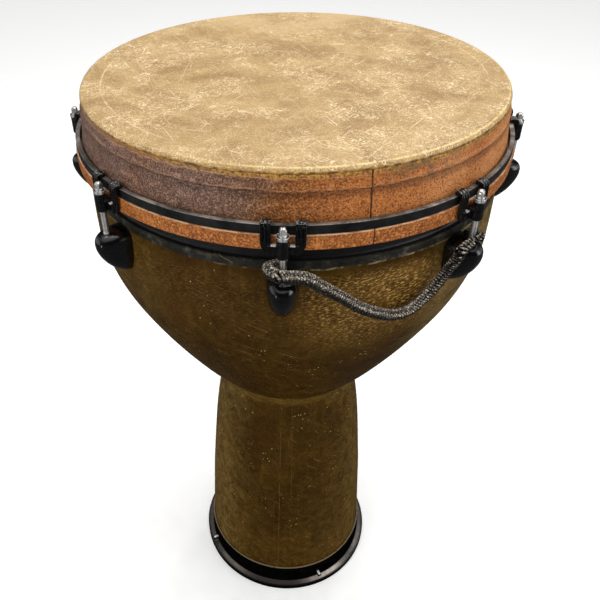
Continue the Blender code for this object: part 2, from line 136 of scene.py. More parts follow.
def divided(outline, longest):
    """The closed outline with its long sides divided, so that no step is longer than longest."""
    out = []
    for a, b in zip(outline, [*outline[1:], outline[0]]):
        parts = max(1, int(np.ceil(np.linalg.norm(b - a) / longest)))
        out += [a + (b - a) * k / parts for k in range(parts)]
    return np.array(out)


def add_piece(name, verts, faces, *finishes):
    mesh = bpy.data.meshes.new(name)
    mesh.from_pydata([tuple(v) for v in verts], [], faces)
    for finish in finishes:
        mesh.materials.append(finish)
    work = bmesh.new()
    work.from_mesh(mesh)
    bmesh.ops.recalc_face_normals(work, faces=work.faces)
    work.to_mesh(mesh)
    work.free()
    mesh.shade_smooth()
    return add_object(name, mesh)


def ring_faces(rings, count, closed):
    """Quads between rings of count points each. Ring i's points are numbered from i * count."""
    faces = []
    for i in range(rings if closed else rings - 1):
        low = i * count
        high = (i + 1) % rings * count
        for j in range(count):
            k = (j + 1) % count
            faces.append((low + j, low + k, high + k, high + j))
    return faces


def skin(name, rings, finish, closed=False):
    """A body whose surface runs through rings of points. Open ends are capped."""
    rings = np.asarray(rings, float)
    count = rings.shape[1]
    verts = rings.reshape(-1, 3)
    faces = ring_faces(len(rings), count, closed)
    if not closed:
        faces.append(tuple(range(count)))
        faces.append(tuple(range(len(verts) - count, len(verts))))
    return add_piece(name, verts, faces, finish)


def even_angles(extra=()):
    """Angles all round the drum, and extra ones in degrees."""
    angles = list(np.linspace(-pi, pi, AROUND, endpoint=False)) + [radians(a) for a in extra]
    return np.array(sorted(set(angles)))


def lathe(name, profile, finish, angles=None, change=None, closed=True):
    """A turned body. angle 0 faces station 1. change(r, z, angle) may move each point's radius."""
    angles = even_angles() if angles is None else angles
    rings = []
    for r, z in profile:
        radii = np.full(len(angles), r) if change is None else np.array([change(r, z, a) for a in angles])
        rings.append(np.stack([radii * np.sin(angles), -radii * np.cos(angles), np.full(len(angles), z)], -1))
    return skin(name, rings, finish, closed)


def circle(radius, z, turns):
    return [(radius * cos(a), radius * sin(a), z) for a in turns]


def turned_small(name, points, finish, base=0.0, segments=40, closed=False):
    """A small piece turned about its own Z axis from (r, z) points in mm, the z counted from base."""
    turns = np.linspace(0, 2 * pi, segments, endpoint=False)
    return skin(name, [circle(r * MM, base + z * MM, turns) for r, z in points], finish, closed)


def add_object(name, mesh):
    piece = bpy.data.objects.new(name, mesh)
    bpy.context.scene.collection.objects.link(piece)
    return piece


def joined(name, pieces):
    """One object made of several, which are removed."""
    work = bmesh.new()
    for piece in pieces:
        piece.data.transform(piece.matrix_world)
        work.from_mesh(piece.data)
    mesh = bpy.data.meshes.new(name)
    for finish in pieces[0].data.materials:
        mesh.materials.append(finish)
    work.to_mesh(mesh)
    work.free()
    for piece in pieces:
        bpy.data.objects.remove(piece)
    return add_object(name, mesh)


def apply_modifiers(piece):
    shown = piece.evaluated_get(bpy.context.evaluated_depsgraph_get())
    mesh = bpy.data.meshes.new_from_object(shown)
    piece.modifiers.clear()
    piece.data = mesh


def fuse(piece, voxel, smooth, keep):
    """Joins overlapping bodies into one cast body with soft inner corners, and keeps a share of its faces."""
    remesh = piece.modifiers.new("fuse", "REMESH")
    remesh.mode = "VOXEL"
    remesh.voxel_size = voxel
    soften = piece.modifiers.new("soften", "SMOOTH")
    soften.iterations = smooth
    soften.factor = 0.5
    fewer = piece.modifiers.new("fewer", "DECIMATE")
    fewer.ratio = keep
    apply_modifiers(piece)
    piece.data.shade_smooth()


def cut(piece, cutter):
    """Takes the cutter's shape out of the piece, and removes the cutter."""
    change = piece.modifiers.new("cut", "BOOLEAN")
    change.operation = "DIFFERENCE"
    change.solver = "EXACT"
    change.object = cutter
    apply_modifiers(piece)
    bpy.data.objects.remove(cutter)


def superellipse(count, half_x, half_y, power):
    """Points (x, y) on a rounded outline. Power 2 is an ellipse, and more is squarer."""
    turn = np.linspace(0, 2 * pi, count, endpoint=False)
    c, s = np.cos(turn), np.sin(turn)
    size = (np.abs(c) ** power + np.abs(s) ** power) ** (-1 / power)
    return np.stack([half_x * size * c, half_y * size * s], -1)


def block(name, low, high, finish, edge):
    """A box with rounded edges."""
    low, high = np.array(low), np.array(high)
    work = bmesh.new()
    place = Matrix.Translation(Vector((low + high) / 2)) @ Matrix.Diagonal((*(high - low), 1))
    bmesh.ops.create_cube(work, size=1, matrix=place)
    bmesh.ops.bevel(work, geom=work.edges[:], offset=edge, segments=3, profile=0.6, affect="EDGES")
    mesh = bpy.data.meshes.new(name)
    work.to_mesh(mesh)
    work.free()
    mesh.materials.append(finish)
    return add_object(name, mesh)


def on_rod_axis(piece):
    """Moves a piece to the axis of station 1's rod."""
    piece.location.y = -ROD_ORBIT
    bpy.context.view_layer.update()
    return piece


def fit(piece, node, body):
    """Puts a piece in the place of a CAD node, on the node's body."""
    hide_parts(node)
    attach(piece, body)


def repeat(model, name, node, body, turns=None):
    """Stands the model, made at station 1, at every station or at the given turns round the drum."""
    if turns is None:
        turns = [2 * pi * index / STATIONS for index in range(STATIONS)]
    for number, turn in enumerate(turns, 1):
        piece = add_object(f"{name}_{number}", model.data)
        piece.matrix_world = Matrix.Rotation(turn, 4, "Z") @ model.matrix_world
        fit(piece, f"{node}_{number}", body.format(number))
    bpy.data.objects.remove(model)


# ---------------------------------------------------------------- material helpers

def linear(color):
    """The linear colour for display values 0..255. A socket stays as it is."""
    if isinstance(color, bpy.types.NodeSocket):
        return color
    shares = [value / 255 for value in color]
    return (*(s / 12.92 if s <= 0.04045 else ((s + 0.055) / 1.055) ** 2.4 for s in shares), 1.0)


class Nodes:
    """Adds nodes to a node tree. Each method returns the output socket that matters."""

    def __init__(self, tree, place):
        self.tree = tree
        self.place = tree.nodes.new("ShaderNodeTexCoord").outputs[place]
        self.x, self.y, self.z = self.axes(self.place)

    def node(self, kind, inputs=(), **settings):
        made = self.tree.nodes.new(kind)
        for key, value in settings.items():
            setattr(made, key, value)
        for key, value in dict(inputs).items():
            self.connect(value, made.inputs[key])
        return made

    def connect(self, value, socket):
        if isinstance(value, bpy.types.NodeSocket):
            self.tree.links.new(value, socket)
        else:
            socket.default_value = value

    def axes(self, vector):
        return self.node("ShaderNodeSeparateXYZ", {0: vector}).outputs

    def math(self, operation, *values):
        return self.node("ShaderNodeMath", enumerate(values), operation=operation).outputs[0]

    def chain(self, operation, values):
        out = values[0]
        for value in values[1:]:
            out = self.math(operation, out, value)
        return out

    def product(self, *values):
        return self.chain("MULTIPLY", values)

    def total(self, *values):
        return self.chain("ADD", values)

    def highest(self, *values):
        return self.chain("MAXIMUM", values)

    def off(self, value, centre):
        """How far value is from centre."""
        return self.math("ABSOLUTE", self.math("SUBTRACT", value, centre))

    def fade(self, value, low, high, out_low=0.0, out_high=1.0):
        """value taken smoothly from low..high to out_low..out_high, held at the ends."""
        return self.node("ShaderNodeMapRange", {
            0: value, 1: low, 2: high, 3: out_low, 4: out_high}, interpolation_type="SMOOTHSTEP").outputs[0]


class Finish(Nodes):
    """A procedural material. color is its colour so far, and paint lays the next one over it."""

    def __init__(self, name):
        self.material = bpy.data.materials.new(name)
        self.material.use_nodes = True
        super().__init__(self.material.node_tree, "Object")
        self.shader = self.tree.nodes["Principled BSDF"]
        self.heights = []
        self.color = None
        # angle: turn from station 1, from -0.5 to 0.5 of a circle, growing anticlockwise
        self.angle = self.math("DIVIDE", self.math("ARCTAN2", self.x, self.product(self.y, -1)), 2 * pi)
        # radius: distance from the drum's axis
        self.radius = self.math("SQRT", self.total(self.product(self.x, self.x), self.product(self.y, self.y)))
        # wrapped: a vector that runs around and up the drum, in metres at the head's radius
        around = self.product(self.angle, 2 * pi * HEAD_RADIUS)
        self.wrapped = self.node("ShaderNodeCombineXYZ", {0: around, 2: self.z}).outputs[0]

    def noise(self, size, detail=3.0, rough=0.5, distortion=0.0, source=None):
        """Cloudy noise whose features are about size metres wide, around 0.5."""
        return self.node("ShaderNodeTexNoise", {
            "Vector": source or self.place, "Scale": 1 / size, "Detail": detail,
            "Roughness": rough, "Distortion": distortion}).outputs[0]

    def streaks(self, size, turn=(0, 0, 0), detail=3.0, rough=0.5, source=None):
        """Noise whose features have the size (x, y, z), along axes turned by turn, in degrees."""
        place = self.node("ShaderNodeMapping", {
            "Vector": source or self.place, "Scale": size,
            "Rotation": [radians(a) for a in turn]}, vector_type="TEXTURE").outputs[0]
        return self.noise(1.0, detail, rough, source=place)

    def cells(self, size, feature="F1", output="Distance"):
        return self.node("ShaderNodeTexVoronoi", {
            "Vector": self.place, "Scale": 1 / size}, feature=feature).outputs[output]

    def specks(self, size, rim, core, group, low, high):
        """Dots about size apart that fade from core out to rim, where a noise group wide is above low..high."""
        return self.product(self.fade(self.cells(size), rim, core), self.fade(self.noise(group, 2), low, high))

    def ramp(self, value, *stops):
        """Colours along value. A stop is (position, red, green, blue)."""
        made = self.node("ShaderNodeValToRGB", {0: value})
        elements = made.color_ramp.elements
        while len(elements) < len(stops):
            elements.new(1.0)
        for element, (position, *color) in zip(elements, stops):
            element.position = position
            element.color = linear(color)
        return made.outputs[0]

    def mix(self, share, a, b, blend="MIX"):
        made = self.node("ShaderNodeMix", data_type="RGBA", blend_type=blend)
        self.connect(share, made.inputs[0])
        self.connect(linear(a), made.inputs[6])
        self.connect(linear(b), made.inputs[7])
        return made.outputs[2]

    def paint(self, color, *shares):
        """Lays color over the colour so far, as strongly as the product of the shares."""
        self.color = self.mix(self.product(*shares), self.color, color)

    def band(self, value, centre, half):
        """1 at centre, 0 farther from it than half."""
        return self.fade(self.off(value, centre), half, 0.0)

    def fibres(self, length, width, turn, share, detail=2.0):
        """Short straight marks along one direction of the XY plane. share is how much they cover."""
        edge = 0.5 + (0.5 - share) * 0.42
        return self.fade(self.streaks((length, width, width), (0, 0, turn), detail, 0.6), edge, edge + 0.09)

    def vein(self, size, width, shift):
        """Thin curved marks that break off now and then: level lines of a smooth noise."""
        place = self.node("ShaderNodeVectorMath", {0: self.place, 1: (shift, -shift, 0)},
                          operation="ADD").outputs[0]
        away = self.off(self.noise(size, 1.0, 0.5, 0.6, source=place), 0.5)
        whole = self.fade(self.noise(size * 1.3, 2.0, source=place), 0.44, 0.56)
        return self.product(self.fade(away, width, width * 0.35), whole)

    def raise_by(self, value, height):
        """Adds relief: value 1 stands height metres proud."""
        self.heights.append(self.product(value, height))

    def finish(self, roughness, metallic=0.0, **more):
        for key, value in dict(Base_Color=self.color, Roughness=roughness, Metallic=metallic, **more).items():
            self.connect(value, self.shader.inputs[key.replace("_", " ")])
        if self.heights:
            bump = self.node("ShaderNodeBump", {
                "Height": self.total(*self.heights), "Strength": 1.0, "Distance": 1.0})
            self.connect(bump.outputs[0], self.shader.inputs["Normal"])
        return self.material


# ---------------------------------------------------------------- finishes

def film_shell():
    """Olive-brown fabric film over the moulded shell: cloudy, flecked, rubbed at the shoulder."""
    f = Finish("shell_finish")
    cloud = f.noise(0.055, 5, 0.6, 0.6)
    small = f.noise(0.009, 4, 0.65, 0.8)
    f.color = f.ramp(f.total(f.product(cloud, 0.5), f.product(small, 0.5)),
                     (0.34, 44, 25, 1), (0.46, 57, 36, 2), (0.56, 67, 45, 4), (0.70, 86, 62, 14))
    f.paint((66, 34, 2), f.fade(f.noise(0.045, 4, 0.6, 1.0), 0.50, 0.70, 0, 0.45))
    f.paint((54, 44, 6), f.fade(f.noise(0.031, 3, 0.6, 1.5), 0.52, 0.72, 0, 0.4))
    # Painted sheen: the foot is painted a paler gold where it turns away from the eye
    sheen_facing = f.node("ShaderNodeLayerWeight", {"Blend": 0.5}).outputs["Facing"]
    f.paint(f.ramp(small, (0.35, 80, 57, 14), (0.65, 122, 95, 38)),
            f.fade(sheen_facing, 0.30, 0.85), f.fade(f.z, 0.335, 0.325, 0.0, 0.6))
    f.paint((98, 72, 22), f.fade(f.streaks((0.004, 1, 0.09), source=f.wrapped), 0.52, 0.78, 0, 0.2))
    # Painted light: both sides are painted paler, as if lit from each side, the right one more and only on the
    # bowl
    right = f.product(f.fade(f.angle, 0.085, 0.15, 0, 0.75), f.fade(f.angle, 0.36, 0.24),
                      f.fade(f.z, 0.36, 0.47))
    left = f.product(f.fade(f.angle, -0.06, -0.16, 0, 0.22), f.fade(f.angle, -0.36, -0.24))
    f.paint(f.ramp(small, (0.35, 78, 62, 26), (0.65, 132, 110, 66)), f.highest(right, left))
    # An area rubbed to pale flecks, under the shoulder
    rub_side = f.fade(f.off(f.angle, 0.070), 0.075, 0.02, 0.10, 1.0)
    rub_area = f.product(f.fade(f.z, 0.455, 0.535), f.fade(f.z, 0.556, 0.54), rub_side)
    f.paint((104, 74, 30), rub_area, f.fade(f.noise(0.02, 3), 0.36, 0.62, 0.2, 0.8))
    rubbed = f.streaks((0.0040, 1, 0.0014), (0, -10, 0), 5.0, 0.7, f.wrapped)
    f.paint((206, 162, 90), rub_area, f.fade(rubbed, 0.49, 0.66))
    f.paint((196, 166, 112), f.specks(0.0040, 0.19, 0.09, 0.012, 0.50, 0.58),
            f.fade(f.noise(0.04, 2), 0.50, 0.62))
    f.paint((32, 20, 5), f.specks(0.0052, 0.24, 0.1, 0.009, 0.46, 0.58), 0.6)
    # Two upright lines on the foot
    lines = f.highest(f.band(f.angle, -0.0087, 0.0009), f.band(f.angle, 0.0155, 0.0007))
    f.paint((122, 96, 50), lines, f.fade(f.z, 0.36, 0.33), f.fade(f.noise(0.014, 3), 0.42, 0.6, 0.1, 0.5))
    # The shoulder is worn grey, with a pale lip
    height = f.total(f.z, f.fade(f.noise(0.03, 3, 0.6, 0.5), 0.3, 0.7, -0.0005, 0.0005))
    greys = f.ramp(f.noise(0.012, 4, 0.7), (0.35, 24, 24, 21), (0.55, 43, 42, 37), (0.72, 84, 80, 70))
    f.paint(greys, f.fade(height, 0.5560, 0.5590))
    f.paint((150, 134, 104), f.band(height, 0.5572, 0.0013), f.fade(f.noise(0.022, 4, 0.7), 0.46, 0.62),
            f.fade(f.angle, -0.1, 0.08, 0.25, 0.9))
    scratched = f.fade(f.streaks((0.05, 1, 0.0007), (0, 24, 0), 2.0, source=f.wrapped), 0.675, 0.71)
    f.paint((176, 142, 84), scratched, 0.45)
    f.raise_by(f.cells(0.0016, feature="SMOOTH_F1"), 0.00006)
    f.raise_by(small, 0.00018)
    f.raise_by(scratched, -0.00004)
    return f.finish(f.fade(small, 0.3, 0.7, 0.38, 0.52), Specular_IOR_Level=0.07)


def black_inside():
    """The black lacquered recess under the head, and the raw fibre inside."""
    f = Finish("shell_inside")
    fibre = f.noise(0.003, 5, 0.7, 1.0)
    outside = f.product(f.fade(f.z, 0.55, 0.558), f.fade(f.radius, 0.1725, 0.1735))
    f.color = f.ramp(fibre, (0.35, 44, 34, 24), (0.65, 84, 68, 50))
    f.paint(f.ramp(fibre, (0.35, 9, 9, 10), (0.7, 26, 26, 27)), outside)
    f.raise_by(fibre, 0.0003)
    return f.finish(f.math("MULTIPLY_ADD", outside, -0.35, 0.8))


def head_film():
    """Tan film with a net of pale fibres, hand scratches, and a paler ring where hands rest."""
    f = Finish("head_film")
    f.color = f.ramp(f.noise(0.045, 4, 0.6, 0.8),
                     (0.36, 146, 113, 66), (0.5, 172, 139, 89), (0.64, 188, 156, 106))
    f.paint((150, 120, 74), f.fade(f.noise(0.020, 4, 0.6, 1.0), 0.48, 0.68, 0, 0.5))
    mottle = f.noise(0.0042, 4, 0.65)
    f.paint((154, 122, 76), f.fade(mottle, 0.5, 0.72, 0, 0.5))
    grain = f.noise(0.0010, 3, 0.7)
    f.paint((240, 210, 162), f.fade(grain, 0.52, 0.66, 0, 0.6))
    f.paint((134, 100, 56), f.fade(grain, 0.47, 0.35, 0, 0.6))
    # Fibres: a net of thin curves, crowded in patches, with short straight ones between
    net = f.highest(*(f.vein(*shape) for shape in (
        (0.0045, 0.020, 0.1), (0.0075, 0.013, 0.7), (0.0075, 0.013, 1.9),
        (0.012, 0.0085, 1.3), (0.020, 0.005, 2.9))))
    crowd = f.fade(f.noise(0.038, 4, 0.6, 0.5), 0.42, 0.58, 0.18, 1.0)
    f.paint((246, 220, 174), f.fade(f.noise(0.0021, 4, 0.7, 1.5), 0.54, 0.66), crowd, 0.85)
    f.paint((250, 226, 182), net, crowd, 0.85)
    f.paint((250, 228, 188), f.highest(f.vein(0.16, 0.0007, 4.3), f.vein(0.21, 0.0005, 5.7)), 0.6)
    f.paint((242, 214, 168), f.highest(*(f.fibres(0.0050, 0.0006, turn, 0.15) for turn in (8, 63, 121))), 0.6)
    scratches = f.highest(*(f.fibres(0.032, 0.00075, turn, 0.05, 1.0) for turn in (-12, 58, 118)))
    f.paint((252, 232, 196), scratches, 0.75)
    # Painted glare: the head is painted paler towards the back, in soft patches
    f.paint((206, 177, 130), f.fade(f.y, 0.07, 0.16), f.fade(f.noise(0.05, 2), 0.42, 0.60, 0.1, 0.75))
    # A worn ring inside the rim, at the left and at the back
    worn = f.highest(f.fade(f.off(f.angle, -0.18), 0.13, 0.08), f.fade(f.off(f.angle, 0.33), 0.12, 0.06))
    f.paint((246, 220, 178), f.band(f.radius, 0.1605, 0.0014), worn,
            f.fade(f.noise(0.006, 2), 0.40, 0.56, 0.15, 0.5))
    # A painted highlight: a bright yellow line along the rim, stronger from the front round to the right
    f.paint((250, 220, 150), f.band(f.radius, HEAD_RADIUS - 0.0022, 0.0011),
            f.fade(f.noise(0.006, 3), 0.35, 0.55, 0.3, 1.0), f.fade(f.angle, -0.12, 0.05, 0.1, 0.8))
    f.paint(f.ramp(f.noise(0.004, 3), (0.38, 98, 64, 20), (0.62, 182, 138, 66)),
            f.fade(f.z, HEAD_TOP - 0.0022, HEAD_TOP - 0.0036))
    f.raise_by(mottle, 0.00008)
    f.raise_by(net, 0.00004)
    f.raise_by(scratches, -0.00005)
    return f.finish(f.fade(mottle, 0.35, 0.7, 0.45, 0.6), Specular_IOR_Level=0.3)


def collar_film():
    """The film's printed side: purplish brown on the left and brighter orange on the right, partly its own
    colour and partly painted light from the right; dark along the ridge, with a painted highlight on the ridge
    and painted shade under it.
    """
    f = Finish("collar_film")
    drift = f.fade(f.noise(0.09, 2), 0.3, 0.7, -0.3, 0.3)
    across = f.total(f.math("SINE", f.product(f.angle, 2 * pi)), drift)
    left = f.fade(across, 0.1, -0.8)
    # Partly painted light: brighter towards the right as well as more orange
    f.color = f.ramp(f.fade(across, -1.1, 1.1), (0.0, 114, 88, 76), (0.32, 112, 78, 54), (0.50, 126, 76, 34),
                     (0.72, 146, 84, 36), (0.90, 182, 108, 50), (1.0, 208, 138, 80))
    blots = f.streaks((0.011, 1, 0.006), detail=4.0, rough=0.65, source=f.wrapped)
    blotted = f.math("MULTIPLY_ADD", left, 0.5, 0.25)
    f.paint((66, 42, 36), f.fade(blots, 0.50, 0.66), blotted)
    f.paint((178, 138, 116), f.fade(blots, 0.45, 0.32), blotted)
    fine = f.noise(0.0013, 3, 0.75)
    f.paint(f.mix(left, (74, 36, 12), (62, 42, 38)), f.fade(fine, 0.505, 0.60, 0, 0.8))
    f.paint(f.mix(left, (206, 142, 80), (176, 146, 130)), f.fade(fine, 0.47, 0.37, 0, 0.7))
    # share runs from 0 at the rim to 1 at the lower edge
    height = f.total(f.z, f.fade(f.noise(0.012, 2, 0.5), 0.3, 0.7, -0.0006, 0.0006))
    top = HEAD_TOP - 0.0045
    share = f.math("DIVIDE", f.math("SUBTRACT", top, height), top - COLLAR_BOTTOM)
    f.paint(f.mix(left, (60, 32, 18), (58, 42, 44)), f.band(share, 0.36, 0.13),
            f.math("MULTIPLY_ADD", left, -0.2, 0.5))
    broken = f.fade(f.noise(0.004, 3), 0.40, 0.56, 0.2, 1.0)
    # A painted highlight along the ridge's top, and painted shade just under it
    f.paint((200, 148, 104), f.band(share, 0.27, 0.022), broken, 0.45)
    f.paint((46, 26, 14), f.band(share, 0.315, 0.02), broken, 0.6)
    f.paint((214, 172, 140), f.band(share, 0.075, 0.018), broken, 0.6)
    f.paint(f.mix(left, (166, 100, 44), (142, 108, 92)), f.fade(share, 0.14, 0.05), 0.4)
    # The rim's torn gilt edge, a stain below it, and the paler lower edge
    torn = f.total(share, f.fade(f.noise(0.0035, 3, 0.7), 0.3, 0.7, -0.05, 0.05))
    f.paint(f.ramp(f.noise(0.0022, 3, 0.7), (0.4, 104, 62, 18), (0.6, 196, 150, 72)),
            f.fade(torn, 0.085, 0.05), f.fade(f.angle, -0.12, -0.02, 0.25, 0.85))
    f.paint((104, 84, 54), f.band(f.angle, 0.09, 0.045), f.fade(share, 0.45, 0.15),
            f.fade(f.noise(0.011, 4, 0.7), 0.42, 0.6, 0, 0.8))
    f.paint((190, 134, 92), f.fade(share, 0.80, 0.98), 0.3)
    f.paint((30, 18, 12), f.band(f.angle, SEAM_ANGLE / 360, 0.0009), 0.9)
    f.raise_by(blots, 0.00012)
    f.raise_by(fine, 0.00008)
    return f.finish(f.fade(blots, 0.35, 0.7, 0.4, 0.52), Specular_IOR_Level=0.25)


def hoop_film():
    """Orange-brown film wrapped round the hoop, speckled."""
    f = Finish("hoop_film")
    cloud = f.noise(0.014, 4, 0.65, 0.5)
    f.color = f.ramp(cloud, (0.34, 130, 70, 24), (0.5, 156, 89, 34), (0.68, 182, 110, 46))
    fine = f.noise(0.0016, 3, 0.75)
    f.paint((100, 48, 14), f.fade(fine, 0.51, 0.60, 0, 0.85))
    f.paint((226, 158, 92), f.fade(fine, 0.46, 0.37, 0, 0.6))
    specks = f.specks(0.0024, 0.26, 0.14, 0.004, 0.45, 0.56)
    f.paint((84, 40, 16), specks, 0.75)
    # A painted highlight along the rounded top edge
    f.paint((246, 206, 166), f.fade(f.z, HOOP_TOP - 0.0008, HOOP_TOP - 0.0001),
            f.fade(f.noise(0.009, 3), 0.35, 0.6, 0.15, 0.7))
    # Painted shade: darker along the lower edge, which turns down into the gap below
    f.paint((104, 60, 30), f.fade(f.z, HOOP_BOTTOM + 0.0016, HOOP_BOTTOM + 0.0002), 0.5)
    f.paint((24, 15, 10), f.band(f.angle, HOOP_SEAM_ANGLE / 360, 0.0008), 0.9)
    f.raise_by(cloud, 0.0002)
    f.raise_by(fine, 0.00006)
    f.raise_by(specks, -0.00008)
    return f.finish(f.fade(cloud, 0.3, 0.7, 0.4, 0.52), Specular_IOR_Level=0.25)


def ring_black():
    """Black coated steel bar, its top face worn to grey."""
    f = Finish("ring_black")
    cloud = f.noise(0.012, 5, 0.7, 0.6)
    brushed = f.streaks((0.03, 1, 0.0008), source=f.wrapped)
    top = f.fade(f.z, RING_TOP - 0.0005, RING_TOP - 0.0001)
    worn = f.highest(f.product(top, f.fade(f.noise(0.012, 4, 0.7), 0.36, 0.58, 0.25, 1)),
                     f.product(f.specks(0.006, 0.12, 0.08, 0.02, 0.56, 0.62), 0.6))
    f.color = f.ramp(cloud, (0.35, 13, 14, 14), (0.7, 34, 35, 35))
    f.paint(f.ramp(brushed, (0.35, 84, 78, 72), (0.65, 176, 166, 158)), worn)
    f.raise_by(cloud, 0.00012)
    f.raise_by(worn, -0.00005)
    return f.finish(f.fade(cloud, 0.3, 0.7, 0.34, 0.48), f.product(worn, 0.5), Specular_IOR_Level=0.25)


def black_hardware():
    """Semi-gloss black on cast claws, with painted highlights on the ribs' tops and on the bar's top edges
    beside the boss.
    """
    f = Finish("black_hardware")
    cloud = f.noise(0.004, 4, 0.7, 0.4)
    f.color = f.ramp(cloud, (0.35, 5, 5, 6), (0.62, 12, 12, 13), (0.78, 28, 28, 28))
    # Painted highlights on the ribs' tops, where they bend over the ring
    rubbed = f.product(f.fade(f.z, CLAW_TOP - 0.0014, CLAW_TOP - 0.0004),
                       f.fade(f.noise(0.0012, 3, 0.7), 0.53, 0.60, 0.0, 0.7))
    aside = f.math("ABSOLUTE", f.x)
    # Painted highlights along the bar's top edges beside the boss
    shelf_highlight = f.product(f.band(f.z, 0.5844, 0.0007), f.fade(aside, 0.0046, 0.0052), f.fade(aside, 0.0086, 0.0080))
    f.paint((206, 203, 196), f.highest(rubbed, shelf_highlight))
    f.raise_by(f.cells(0.0011), 0.00004)
    f.raise_by(cloud, 0.00008)
    return f.finish(f.fade(cloud, 0.35, 0.7, 0.2, 0.34), Specular_IOR_Level=0.4, Coat_Weight=0.2,
                    Coat_Roughness=0.12)


def lug_black():
    """Gloss black with faint dust and hairlines."""
    f = Finish("lug_black")
    cloud = f.noise(0.008, 3, 0.6)
    f.color = f.mix(f.fade(cloud, 0.3, 0.7), (5, 5, 5), (11, 11, 11))
    f.paint((110, 104, 98), f.specks(0.0024, 0.12, 0.06, 0.007, 0.5, 0.58), 0.6)
    f.raise_by(cloud, 0.00006)
    roughness = f.total(f.fade(cloud, 0.3, 0.7, 0.14, 0.24), f.product(f.fibres(0.012, 0.0003, 35, 0.06), 0.2))
    return f.finish(roughness, Coat_Weight=0.4, Coat_Roughness=0.08)


def screw_black():
    """Blackened steel, with a painted highlight on the side that faces up."""
    f = Finish("screw_black")
    cloud = f.noise(0.002, 3, 0.6)
    up = f.axes(f.node("ShaderNodeNewGeometry").outputs["Normal"])[2]
    # A painted highlight where the surface faces up
    top_highlight = f.fade(up, 0.72, 0.95, 0, 0.9)
    f.color = f.ramp(cloud, (0.35, 7, 7, 7), (0.65, 20, 20, 20))
    f.paint((255, 252, 246), top_highlight)
    f.raise_by(cloud, 0.00004)
    return f.finish(f.fade(cloud, 0.3, 0.7, 0.15, 0.28), f.product(top_highlight, 0.3), Coat_Weight=0.3)


def chrome():
    """Bright plated steel with turning marks and haze, and with painted reflections: the upright bars that a
    room leaves on it.
    """
    f = Finish("chrome")
    haze = f.noise(0.003, 3, 0.6)
    # Painted reflections: light and dark upright bars, chosen by how each point faces the eye
    seen = f.node("ShaderNodeVectorTransform", {0: f.node("ShaderNodeNewGeometry").outputs["Normal"]},
                  vector_type="NORMAL", convert_from="WORLD", convert_to="CAMERA").outputs[0]
    reflected_bars = f.ramp(f.fade(f.axes(seen)[0], -1, 1), (0.02, 52, 50, 46), (0.16, 226, 222, 214),
                  (0.36, 255, 255, 255), (0.46, 84, 80, 74), (0.55, 214, 212, 208), (0.80, 255, 255, 255),
                  (0.93, 70, 67, 62))
    f.color = f.mix(0.85, f.ramp(haze, (0.35, 214, 214, 214), (0.65, 252, 252, 252)), reflected_bars, "MULTIPLY")
    f.raise_by(f.streaks((0.02, 0.02, 0.0006), detail=2.0), 0.000012)
    return f.finish(f.fade(haze, 0.35, 0.7, 0.07, 0.16), 0.6, Specular_IOR_Level=0.8)


def zinc_steel():
    """Zinc-plated steel, dulled."""
    f = Finish("zinc_steel")
    grey = f.ramp(f.noise(0.002, 3), (0.35, 132, 132, 128), (0.65, 176, 175, 168))
    f.color = f.mix(0.12, grey, f.cells(0.0015, output="Color"), "SOFT_LIGHT")
    return f.finish(f.fade(f.noise(0.004, 3), 0.3, 0.7, 0.3, 0.45), 1.0)


def rope_yarn(name, dark, pale, fleck):
    """Braided yarn: fine fibres, pale where it stands proud, with painted shade that makes it nearly black
    between the strands, in the cross grooves and below.
    """
    f = Finish(name)
    fibres = f.noise(0.0006, 4, 0.75, 1.5)
    f.color = f.ramp(fibres, (0.36, *dark), (0.64, *pale))
    f.paint(fleck, f.fade(f.noise(0.0013, 3, 0.7), 0.53, 0.60, 0, 0.95))
    # Painted shade: nearly black between the strands, where the surface lies deep in the rope
    crest = f.node("ShaderNodeAttribute", attribute_name="crest").outputs["Fac"]
    f.paint((4, 4, 4), f.fade(crest, 0.93, 0.70))
    # Painted shade in the cross grooves towards the right end; the mesh has no grooves
    groove_shade = f.node("ShaderNodeAttribute", attribute_name="groove_shade").outputs["Fac"]
    f.paint((7, 7, 7), f.fade(groove_shade, 0.45, 0.80, 0, 0.92))
    # Painted shade on the underside, darker where the surface faces down
    up = f.axes(f.node("ShaderNodeNewGeometry").outputs["Normal"])[2]
    f.paint((10, 10, 9), f.fade(up, 0.62, 0.0, 0, 0.9))
    f.raise_by(fibres, 0.0003)
    return f.finish(0.85, Specular_IOR_Level=0.1)


